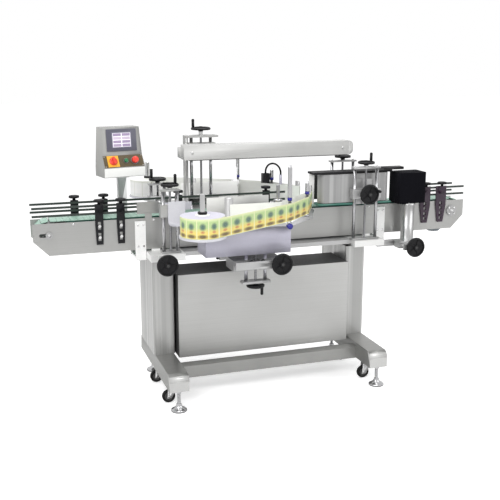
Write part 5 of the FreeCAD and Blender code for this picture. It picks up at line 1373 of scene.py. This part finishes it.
@dataclass
class OperatorStation:
    """Post, console, screen, switch and buttons."""

    middle_x: float = -838.0
    pivot: Pair = (-835.0, 120.0)
    turn: float = 12.0
    lip: Pair = (50.0, 1304.0)
    slope_top: Pair = (88.0, 1374.0)
    face_top: Pair = (104.0, 1533.0)
    screen_rise: float = 6.0
    screen: Pair = (185.0, 127.0)
    bottom: float = 1248.0
    lip_half: float = 126.0
    strip_half: Pair = (122.0, 37.0)
    seam: Box = ((-108, 108), (192, 192), (1262, 1518))
    switch_x: float = -65.0
    start_x: float = 14.0
    stop_x: float = 68.0

    def turned(self, x: float, y: float, z: float) -> Point:
        """A point of the unturned console, turned with it about the post."""
        angle = math.radians(self.turn)
        dx, dy = x + self.middle_x - self.pivot[0], y - self.pivot[1]
        return (self.pivot[0] + dx * math.cos(angle) - dy * math.sin(angle),
                self.pivot[1] + dx * math.sin(angle) + dy * math.cos(angle), z)

    def axes(self, low: Pair, high: Pair) -> Matrix:
        """Turn from a sloped face's own X, up and outward directions to the machine's.

        Args:
            low: Lower edge of the face as (y, z).
            high: Upper edge of the face as (y, z).

        Returns:
            The rotation.
        """
        depth, rise = high[0] - low[0], high[1] - low[1]
        tilt = Matrix.Rotation(math.pi / 2 - math.atan2(depth, rise), 3, "X")
        return Matrix.Rotation(math.radians(self.turn), 3, "Z") @ tilt

    def slope(self) -> tuple[Matrix, Point]:
        """Turn of the button panel, and the direction that it faces."""
        turn = self.axes(self.lip, self.slope_top)
        return turn, tuple(turn @ Vector((0, 0, 1)))

    def slope_point(self, x: float) -> Point:
        """Point on the button panel's middle line."""
        return self.turned(x, (self.lip[0] + self.slope_top[0]) / 2,
                           (self.lip[1] + self.slope_top[1]) / 2)

    def screen_point(self) -> Point:
        """Middle of the screen on the console's face."""
        depth, rise = self.face_top[0] - self.slope_top[0], self.face_top[1] - self.slope_top[1]
        return self.turned(0, (self.face_top[0] + self.slope_top[0]) / 2
                           + self.screen_rise * depth / rise,
                           (self.face_top[1] + self.slope_top[1]) / 2 + self.screen_rise)

    def build(self) -> None:
        """Dresses the console and makes its screen, plates and buttons."""
        dressed("operator_post", Finishes.POST)
        dressed("operator_box", Finishes.CONSOLE)
        self.panel()
        self.glass()
        self.switch()
        self.button("start_button", self.start_x, 12.0, 14.0, Finishes.GREEN, 2.0)
        self.button("stop_button", self.stop_x, 20.0, 24.0, Finishes.RED, 5.0)

    def panel(self) -> None:
        """Dark button strip with its screws and rings, yellow plate, pale lip, cover screws."""
        maker = Maker("console_panel")
        slope, out = self.slope()
        at = self.slope_point(0)
        wide, high = self.strip_half
        maker.bar(Finishes.STRIP, (-wide, -high, 0.1), (wide, high, 1.0), slope, at, 0.3)
        for x in (7 - wide, wide - 7):
            for up in (6 - high, high - 6):
                spot = Vector(at) + slope @ Vector((x, up, 0.9))
                maker.lathe(Finishes.BRIGHT, [(0, 0), (3, 0), (2.4, 1.2), (0, 1.5)], tuple(spot),
                            out, 12)
        for x, head in ((self.start_x, 12.0), (self.stop_x, 20.0)):
            maker.lathe(Finishes.SCREW, [(9.2, 0.9), (head + 3.4, 0.9), (head + 3.4, 3.6),
                                         (head + 2.4, 4.6), (head + 0.8, 4.6),
                                         (head + 0.8, 1.4), (9.2, 1.4)],
                        self.slope_point(x), out, 36)
        maker.bar(Finishes.YELLOW, (-34.4, -34.4, 0.9), (34.4, 34.4, 3.4), slope,
                  self.slope_point(self.switch_x), 0.5)
        front = Matrix.Rotation(math.radians(self.turn), 3, "Z")
        level = (self.bottom + self.lip[1]) / 2
        maker.bar(Finishes.LIP, (-self.lip_half, -0.8, self.bottom - level + 3),
                  (self.lip_half, 0.1, self.lip[1] - level - 2), front,
                  self.turned(0, self.lip[0], level), 0.3)
        maker.piece("operator_box")
        sides, (back, _), heights = self.seam
        seam = [Place(self.turned(x, back, z), (-math.pi / 2, 0, math.radians(self.turn)))
                for x in sides for z in heights]
        fasteners("cover_screws", "operator_box", socket_screw(4.0), seam)

    def glass(self) -> None:
        """Touch screen: bevelled bezel, inner frame and lit display."""
        maker = Maker("screen")
        face = self.axes(self.slope_top, self.face_top)
        at = self.screen_point()
        w, h = self.screen[0] / 2, self.screen[1] / 2
        maker.bar(Finishes.BEZEL, (-w, -h, 0), (w, h, 6), face, at, 2.0)
        maker.bar(Finishes.BEZEL_INNER, (-w * 0.66, -h * 0.72, 5.5), (w * 0.66, h * 0.72, 6.8),
                  face, at, 0.4)
        maker.bar(Finishes.BLACK, (-w + 11, -h + 11, -29), (w - 11, h - 11, -1), face, at)
        spots = [tuple(Vector(at) + face @ Vector((x * w * 0.6, y * h * 0.64, 7.0)))
                 for x, y in ((-1, -1), (1, -1), (1, 1), (-1, 1))]
        maker.sheet(Finishes.DISPLAY, spots, ((0, 0), (1, 0), (1, 1), (0, 1)))
        maker.piece("touch_screen", "touch_screen")

    def switch(self) -> None:
        """Main switch: red rotary knob with a bar grip."""
        maker = Maker("switch_knob")
        slope, out = self.slope()
        at = self.slope_point(self.switch_x)
        maker.lathe(Finishes.RED, [(0, 3.6), (24, 3.6), (24, 9), (22.5, 11), (18, 13.4),
                                   (0, 14.2)], at, out, 48)
        maker.bar(Finishes.RED, (-6, -22, 12), (6, 22, 26), slope, at, 2.2)
        maker.lathe(Finishes.DARK_STEEL_AND_SHADE, rod(9, -18, 4), at, out, 24)
        maker.piece("main_switch", "main_switch")

    def button(self, node: str, x: float, radius: float, height: float, finish: Finish,
               dome: float) -> None:
        """Makes a push button with a domed head.

        Args:
            node: Its CAD node.
            x: Its place across the panel.
            radius: Radius of the head.
            height: Height of the head over the panel.
            finish: Finish of the head.
            dome: Radius of the head's rounded edge.
        """
        maker = Maker("button_" + node)
        out = self.slope()[1]
        maker.lathe(finish, [(0, 7), (radius - 1, 7), (radius, 8), (radius, height - dome),
                             (radius - dome * 0.3, height - dome * 0.3),
                             (radius - dome, height), (0, height)],
                    self.slope_point(x), out, 40)
        maker.lathe(Finishes.DARK_STEEL_AND_SHADE, rod(9, -22, 7.5), self.slope_point(x), out, 24)
        maker.piece(node, node)


@dataclass
class LiftUnits:
    """The four lift units at the ends of the bridges."""

    align: Point = (-610.0, -162.0, 1188.0)
    align_rear: Point = (-610.0, 162.0, 1176.0)
    press: Point = (617.0, -172.0, 1269.0)
    press_rear: Point = (617.0, 172.0, 1269.0)
    foot: float = 827.0
    crank_radius: float = 52.0
    wheel: Point = (-672.0, -330.0, 798.0)
    wheel_radius: float = 62.0
    plate: float = 10.0
    foot_plate: float = 11.0
    align_bolts: float = 41.0
    press_bolts: float = 74.5
    crank_room: float = 70.0
    shaft_half: float = 12.0
    guard_edge: Box = ((-FAR, -520), (-184.5, -139.5), (1039, 1111))
    pad: Box = ((340, 790), (50, 84), (1000, 1300))

    def crank(self, node: str, top: Point, angle: float, finish: Finish | None = None) -> Wheel:
        """Crank wheel and screw of a lift unit.

        Args:
            node: Its CAD node.
            top: Middle of the unit's top plate, on its underside.
            angle: Angle of the handle round the screw.
            finish: Finish of the wheel, if not black.

        Returns:
            The wheel.
        """
        x, y, level = top
        reach = self.crank_radius - 13
        return Wheel(node, (x, y, level + 18), (0, 0, 1), self.crank_radius,
                     ((x, y, self.foot + 3.3), (x, y, level + 20)), 7.0,
                     (x + reach * math.cos(angle), y + reach * math.sin(angle), level + 38),
                     ((x, y, level + 10.3), 9.7), 4, finish)

    def build(self) -> None:
        """Dresses posts and carriages and makes cranks and handwheel."""
        self.crank("align_crank", self.align, 0.4).build()
        self.crank("press_crank", self.press, 0.3).build()
        dressed("align_posts", Finishes.SHAFT,
                Zone(Finishes.PLATE, z=(self.align[2] - 1, FAR)),
                Zone(Finishes.PLATE, z=(-FAR, self.foot + self.foot_plate)),
                smooth=COARSE_ROUND)
        dressed("align_carriage", Finishes.GUARD, Zone(Finishes.PLATE, *self.guard_edge))
        Wheel("align_handwheel", self.wheel, (0, -1, 0), self.wheel_radius,
              ((self.wheel[0], -345, self.wheel[2]), (self.wheel[0], -234, self.wheel[2])),
              8.0).build()
        cranks = [Zone(Finishes.BLACK, (x - self.crank_room, x + self.crank_room),
                       (y - self.crank_room, y + self.crank_room), (top + 18.5, FAR))
                  for x, y, top in (self.align_rear, self.press_rear)]
        shafts = [Zone(Finishes.SHAFT, (x - reach, x + reach),
                       (y - self.shaft_half, y + self.shaft_half),
                       (self.foot + self.foot_plate, top - 1))
                  for (x, y, top), reach in ((self.align_rear, 55), (self.press_rear, 90),
                                             (self.press, 90))]
        dressed("lift_units", Finishes.PLATE, *cranks, *shafts, Zone(Finishes.PAD, *self.pad),
                smooth=COARSE_ROUND)
        for name, node, units in (
                ("lift_bolts", "lift_units", ((self.align_rear, self.align_bolts),
                                              (self.press, self.press_bolts),
                                              (self.press_rear, self.press_bolts))),
                ("align_bolts", "align_posts", ((self.align, self.align_bolts),))):
            fasteners(name, node, bolt(7.0, 5.0),
                      [Place((x + dx, y, top + self.plate)) for (x, y, top), reach in units
                       for dx in (-reach, reach)])


@dataclass
class WebPath:
    """Plan of the label strip, from its roll round posts and rollers to the rewinder."""

    step: float = 0.12

    @staticmethod
    def tangent(a: tuple, b: tuple) -> Pair:
        """Directions from two wheels' centres to the strip between them.

        Args:
            a: Centre, radius and side of the first wheel.
            b: The same of the second wheel.

        Returns:
            One direction for each wheel.
        """
        (ax, ay), ra, sa = a
        (bx, by), rb, sb = b
        distance = math.hypot(bx - ax, by - ay)
        heading = math.atan2(by - ay, bx - ax) + math.asin((sb * rb - sa * ra) / -distance)
        right = heading - math.pi / 2
        return (right if sa > 0 else right + math.pi), (right if sb > 0 else right + math.pi)

    def points(self, wheels: Sequence[tuple]) -> list[list[Pair]]:
        """Points of the strip's middle line, one list for each wheel it touches.

        Args:
            wheels: Centre, radius and side of every wheel; side 1 lies left of the strip.

        Returns:
            The points.
        """
        joins = [self.tangent(a, b) for a, b in zip(wheels, wheels[1:])]
        rows = []
        for index, (centre, radius, side) in enumerate(wheels):
            start = joins[index - 1][1] if index else joins[0][0]
            end = joins[index][0] if index < len(joins) else start
            sweep = (end - start) % math.tau if side > 0 else -((start - end) % math.tau)
            sweep = 0.0 if abs(sweep) > math.pi * 1.9 else sweep
            steps = max(1, round(abs(sweep) / self.step))
            rows.append([(centre[0] + radius * math.cos(start + sweep * k / steps),
                          centre[1] + radius * math.sin(start + sweep * k / steps))
                         for k in range(steps + 1 if sweep else 1)])
        return rows


@dataclass
class LabelHeads:
    """Both label heads: case, deck, posts, reel, strip, roller, carriage and screws."""

    reel: Pair = (-562.0, -687.0)
    roll_radius: float = 116.0
    core: float = 38.0
    roll_bottom: float = 1034.0
    label_height: float = 104.0
    flange: float = 124.0
    post_one: Pair = (0.0, -478.0)
    post_two: Pair = (176.0, -303.0)
    post_radius: float = 9.0
    peel: Pair = (288.0, -98.0)
    drive: Pair = (-41.0, -400.0)
    drive_radius: float = 25.0
    rewind: Pair = (-330.0, -395.0)
    spool: float = 24.0
    deck_bottom: float = 1010.0
    label_pitch: float = 91.1
    labels_round: int = 12
    slide_z: float = 805.0
    post_tops: Pair = (1338.0, 1216.0)
    slide_x: Pair = (-320.0, -60.0)
    slide_y: Pair = (-511.0, -207.0)
    slide_shafts: Pair = (790.0, 820.0)
    clamp: Box = ((-245, -140), (-495, -475.3), (800, 830))
    knob: Box = ((-30, 10), (-530, -501), (990, 1035))
    case: Box = ((-600, 100), (-540, -270), (800, 1009.8))
    lift_shafts: Box = ((-280, -100), (-480, -420), (702, 856.5))
    lift_plate: Box = ((-290, -90), (-480, -420), (680, 702))
    back_plate: Box = ((-440, -50), (-297, -291), (1020, 1160))
    motor: Box = ((-175, -105), (-365, -300), (1020.5, 1120))
    rewinder: Box = ((-385, -275), (-450, -340), (1020.5, 1180))
    peel_bar: Box = ((240, 320), (-150, -90), (1020.5, 1180))
    deck: Box = ((-FAR, FAR), (-FAR, FAR), (1009.7, 1020.5))
    printer: Box = ((105, 163), (-330, -280), (1020.5, 1200))
    sensor_post: Box = ((194, 216), (-326, -304), (1020.5, 1200))
    rear_crank: Box = ((-250, -130), (-510, -390), (600, 686.5))
    rear_roller: Box = ((-70, -12), (-430, -370), (1010, 1260))

    def build(self) -> None:
        """Dresses both heads and makes reels, strips, wheels and screws."""
        for side, sign in (("front", 1), ("rear", -1)):
            dressed(side + "_carriage", Finishes.CARRIAGE,
                    self.zone(Finishes.BLACK, self.clamp, sign))
            self.head(side, sign)
            self.roll(side, sign)
            self.strip(side, sign)
        dressed("printer_cable", Finishes.BLACK)
        self.front_wheels()
        shafts = (self.slide_x, self.slide_y, self.slide_shafts)
        dressed("slide_bases", Finishes.PLATE,
                *(self.zone(Finishes.SHAFT, shafts, sign) for sign in (1, -1)),
                smooth=COARSE_ROUND)

    @staticmethod
    def zone(finish: Finish, box: Box, sign: int) -> Zone:
        """Zone of a box on the front head, or of its mirror image if the sign is -1."""
        x, (front, back), z = box
        return Zone(finish, x, (front, back) if sign > 0 else (-back, -front), z)

    def head(self, side: str, sign: int) -> None:
        """Dresses a head's case and what stands on its deck.

        Args:
            side: Which head, "front" or "rear".
            sign: 1 for the front head and -1 for the rear head.
        """
        deck = self.deck_bottom
        top = self.roll_bottom + self.label_height
        boxes = [(Finishes.BLUE, self.knob), (Finishes.ENAMEL, self.case),
                 (Finishes.SHAFT, self.lift_shafts), (Finishes.PLATE, self.lift_plate)]
        for x, y in (self.post_one, self.post_two):
            boxes.append((Finishes.BLUE, ((x - 14, x + 14), (y - 14, y + 14),
                                          (top + 12, top + 31))))
            boxes.append((Finishes.SHAFT, ((x - 15, x + 15), (y - 15, y + 15),
                                           (deck + 10, FAR))))
        boxes += [(Finishes.LIP, self.back_plate), (Finishes.DARK_STEEL_AND_SHADE, self.motor),
                  (Finishes.PLATE, self.rewinder), (Finishes.PLATE, self.peel_bar),
                  (Finishes.DECK, self.deck)]
        if sign < 0:
            boxes = [(Finishes.BLACK, self.printer), (Finishes.BLACK, self.sensor_post),
                     (Finishes.BLACK, self.rear_crank), (Finishes.BRIGHT, self.rear_roller)] + boxes
        dressed(side + "_head", Finishes.ENAMEL,
                *(self.zone(finish, box, sign) for finish, box in boxes), smooth=COARSE_ROUND)
        self.sleeves(side, sign, top + 31.4)

    def sleeves(self, side: str, sign: int, low: float) -> None:
        """Bright tubes that stiffen the web posts above their collars.

        Args:
            side: Which head, "front" or "rear".
            sign: 1 for the front head and -1 for the rear head.
            low: Height of their lower ends.
        """
        maker = Maker(side + "_post_sleeves")
        for (x, y), high in zip((self.post_one, self.post_two), self.post_tops):
            maker.lathe(Finishes.SLEEVE, [(7.3, low), (11.5, low), (12, low + 0.6),
                                          (12, high - 0.6), (11.5, high), (7.3, high)],
                        (x, sign * y, 0), steps=32)
        maker.piece(side + "_head")

    def roll(self, side: str, sign: int) -> None:
        """Makes a label reel: flange, core, spindle and the wound labels.

        Args:
            side: Which head, "front" or "rear".
            sign: 1 for the front head and -1 for the rear head.
        """
        x, y = self.reel[0], sign * self.reel[1]
        low, top = self.roll_bottom, self.roll_bottom + self.label_height
        maker = Maker("reel_" + side)
        maker.lathe(Finishes.SHAFT, rod(15, self.deck_bottom - 12, self.deck_bottom + 12),
                    (x, y, 0), steps=32)
        maker.lathe(Finishes.GUARD, [(0, low - 12), (self.flange - 1, low - 12),
                                     (self.flange, low - 11), (self.flange, low - 2),
                                     (self.flange - 1, low - 0.6), (0, low - 0.6)],
                    (x, y, 0), steps=96)
        maker.lathe(Finishes.LINER, [(14, low - 0.5), (self.core - 0.5, low - 0.5),
                                     (self.core - 0.5, top + 3), (self.core - 2, top + 4),
                                     (15.5, top + 7.5), (14, top + 7.5)], (x, y, 0), steps=48)
        maker.lathe(Finishes.BRIGHT, [(0, low), (14, low), (14, top + 110), (12.5, top + 112),
                                     (0, top + 112)], (x, y, 0), steps=32)
        maker.lathe(Finishes.BLACK, [(14, top + 8), (24, top + 8), (25, top + 9.5),
                                     (25, top + 17), (23, top + 19), (14, top + 19)],
                    (x, y, 0), steps=32)
        outer = Finishes.LABEL if sign > 0 else Finishes.PLAIN_LABEL
        paper = Finishes.FRONT_PAPER if sign > 0 else Finishes.REAR_PAPER
        ring = 96
        r = self.roll_radius
        turn = [math.tau * k / ring for k in range(ring + 1)]
        rim = [(x + r * math.cos(a), y + r * math.sin(a)) for a in turn]
        maker.wall(outer, paper, rim, (low, top), 0.8, math.tau * r / self.labels_round)
        maker.lathe(paper, rod(r - 0.6, low, top, self.core), (x, y, 0), steps=ring)
        maker.piece(side + "_label_roll", side + "_label_roll")

    def strip(self, side: str, sign: int) -> None:
        """Makes a label strip with its liner going back to the rewinder.

        Args:
            side: Which head, "front" or "rear".
            sign: 1 for the front head and -1 for the rear head.
        """
        clear = 0.8
        wheels = [(self.reel, self.roll_radius + clear, 1),
                  (self.post_one, self.post_radius + clear, 1),
                  (self.post_two, self.post_radius + clear, 1),
                  (self.peel, 4.0 + clear + 0.3, 1),
                  (self.drive, self.drive_radius + clear, -1),
                  (self.rewind, self.spool + clear, -1)]
        rows = WebPath().points(wheels)
        levels = (self.roll_bottom + 1, self.roll_bottom + self.label_height - 1)
        maker = Maker("strip_" + side)
        printed = [p for row in rows[:4] for p in row][:-4]
        liner = [p for row in rows[3:] for p in row]
        labels = Finishes.LABEL if sign > 0 else Finishes.PLAIN_LABEL
        if sign < 0:
            printed = [(px, -py) for px, py in reversed(printed)]
            liner = [(px, -py) for px, py in reversed(liner)]
        maker.wall(labels, Finishes.LINER, printed, levels, 0.9, self.label_pitch)
        maker.wall(Finishes.LINER, Finishes.LINER, liner, levels, 0.6, self.label_pitch)
        maker.piece(side + "_web", side + "_web")

    def front_wheels(self) -> None:
        """Makes the crank, the handwheel and the traction roller of the front head."""
        x, y, low = -191.0, -450.0, 687.0
        Wheel("front_crank", (x, y, low - 0.3), (0, 0, -1), 52.0,
              ((x, y, low - 18), (x, y, 854.0)), 7.0, (x + 39.0, y, low - 20.3), None, 4).build()
        x, y, z = -64.0, -526.0, self.slide_z
        Wheel("front_handwheel", (x, y, z), (0, -1, 0), 62.0,
              ((x, -542, z), (x, -197, z)), 8.0).build()
        low, top = self.deck_bottom + 10.3, self.roll_bottom + self.label_height
        maker = Maker("traction_roller")
        maker.lathe(Finishes.SHAFT, rod(8, low - 20, low), (*self.drive, 0), steps=32)
        profile = [(0, low), (self.drive_radius - 1, low), (self.drive_radius, low + 1)]
        for groove in (0.33, 0.66):
            at = low + (top + 10 - low) * groove
            profile += [(self.drive_radius, at - 2), (self.drive_radius - 1.5, at - 1),
                        (self.drive_radius - 1.5, at + 1), (self.drive_radius, at + 2)]
        profile += [(self.drive_radius, top + 9), (self.drive_radius - 1, top + 10), (10, top + 14),
                    (10, top + 93), (9, top + 94), (0, top + 94)]
        maker.lathe(Finishes.SHAFT, profile, (*self.drive, 0), steps=48)
        maker.piece("front_drive_roller", "front_drive_roller")


@dataclass
class HoldDown:
    """Lift frame, crank, beam and belt."""

    middle_y: float = 161.0
    top: float = 1468.0
    screw_x: float = -336.0
    screw_foot: float = 1090.3
    crank_radius: float = 60.0
    crank_angle: float = 0.95 * math.pi
    shafts_x: tuple[Pair, Pair] = ((-412.0, -382.0), (-291.0, -261.0))
    shafts_z: Pair = (848.0, 1455.0)
    shaft_room: float = 21.0
    pulleys_x: tuple[Pair, Pair] = ((-480.0, -400.0), (500.0, 575.0))
    pulley_room: float = 30.0
    pulley_top: float = 1400.0
    plate_bolts: tuple[Pair, Pair] = ((-85.0, 82.0), (-22.0, 22.0))
    beam_screws: tuple[Point, Point] = ((-446.0, -42.0, 1385.0), (516.0, -42.0, 1385.0))

    def build(self) -> None:
        """Dresses the hold-down and makes its crank."""
        x, y, top = self.screw_x, self.middle_y, self.top
        depth = (y - self.shaft_room, y + self.shaft_room)
        dressed("hold_frame", Finishes.FRAME,
                *(Zone(Finishes.SHAFT, shaft, depth, self.shafts_z) for shaft in self.shafts_x),
                smooth=COARSE_ROUND)
        reach = self.crank_radius - 13.0
        angle = self.crank_angle
        Wheel("hold_crank", (x, y, top + 22), (0, 0, 1), self.crank_radius,
              ((x, y, self.screw_foot), (x, y, top + 24)), 7.0,
              (x + reach * math.cos(angle), y + reach * math.sin(angle), top + 42),
              ((x, y, top + 0.3), 23.0), 4).build()
        dressed("hold_beam", Finishes.BEAM,
                *(Zone(Finishes.BLACK, pulley, (-self.pulley_room, self.pulley_room),
                       (-FAR, self.pulley_top)) for pulley in self.pulleys_x))
        dressed("hold_belt", Finishes.HOLD_BELT)
        across, along = self.plate_bolts
        fasteners("hold_bolts", "hold_frame", bolt(6.0, 4.5),
                  [Place((x + dx, y + dy, top)) for dx in across for dy in along])
        fasteners("beam_screws", "hold_beam", socket_screw(6.5),
                  [Place(at, TO_FRONT) for at in self.beam_screws])


@dataclass
class WrapStation:
    """Belt unit, its carriage, the foam block and its slide."""

    wheel: Point = (617.0, -216.0, 1116.0)
    slide_wheel: Point = (928.0, -254.0, 772.0)
    wheel_radius: float = 62.0
    handle_reach: float = 49.0
    handle_angle: float = 0.5
    top_plate: float = 1237.5
    bottom_plate: float = 1055.5
    block: Box = ((500, 700), (-FAR, -146.5), (-FAR, 1210))
    guide_plate: Box = ((280, 318), (-77, -71), (-FAR, FAR))
    rollers_x: tuple[Pair, Pair] = ((325.0, 405.0), (720.0, 805.0))
    roller_top: float = 1059.5
    housing: Box = ((880, 980), (-FAR, FAR), (797, FAR))

    def build(self) -> None:
        """Dresses the wrap station and makes its handwheels."""
        dressed("press_carriage", Finishes.PLATE)
        dressed("press_unit", Finishes.BELT,
                Zone(Finishes.BLACK, z=(self.top_plate, FAR)),
                Zone(Finishes.GREEN_EDGE, z=(-FAR, self.bottom_plate)),
                Zone(Finishes.PLATE, *self.block), Zone(Finishes.LIP, *self.guide_plate),
                *(Zone(Finishes.ROLLER, roller, z=(-FAR, self.roller_top))
                  for roller in self.rollers_x))
        x, y, z = self.wheel
        handle = (x + self.handle_reach * math.cos(self.handle_angle), y - 20,
                  z + self.handle_reach * math.sin(self.handle_angle))
        Wheel("press_handwheel", self.wheel, (0, -1, 0), self.wheel_radius,
              ((x, y - 16, z), (x, y + 19, z)), 8.0, handle).build()
        dressed("roller_slide", Finishes.PLATE, Zone(Finishes.HOUSING, *self.housing))
        x, y, z = self.slide_wheel
        Wheel("roller_handwheel", self.slide_wheel, (0, -1, 0), self.wheel_radius,
              ((x, -270, z), (x, -101, z)), 8.0).build()
        dressed("foam_roller", Finishes.FOAM)


def main() -> None:
    """Builds the studio and every sub-assembly in order."""
    logging.basicConfig(level=logging.INFO)
    Studio().build()
    for part in (Base(), Cabinet(), Conveyor(), OperatorStation(), LiftUnits(), LabelHeads(),
                 HoldDown(), WrapStation()):
        part.build()
        LOG.info("built %s", type(part).__name__)


if __name__ == "__main__":
    main()
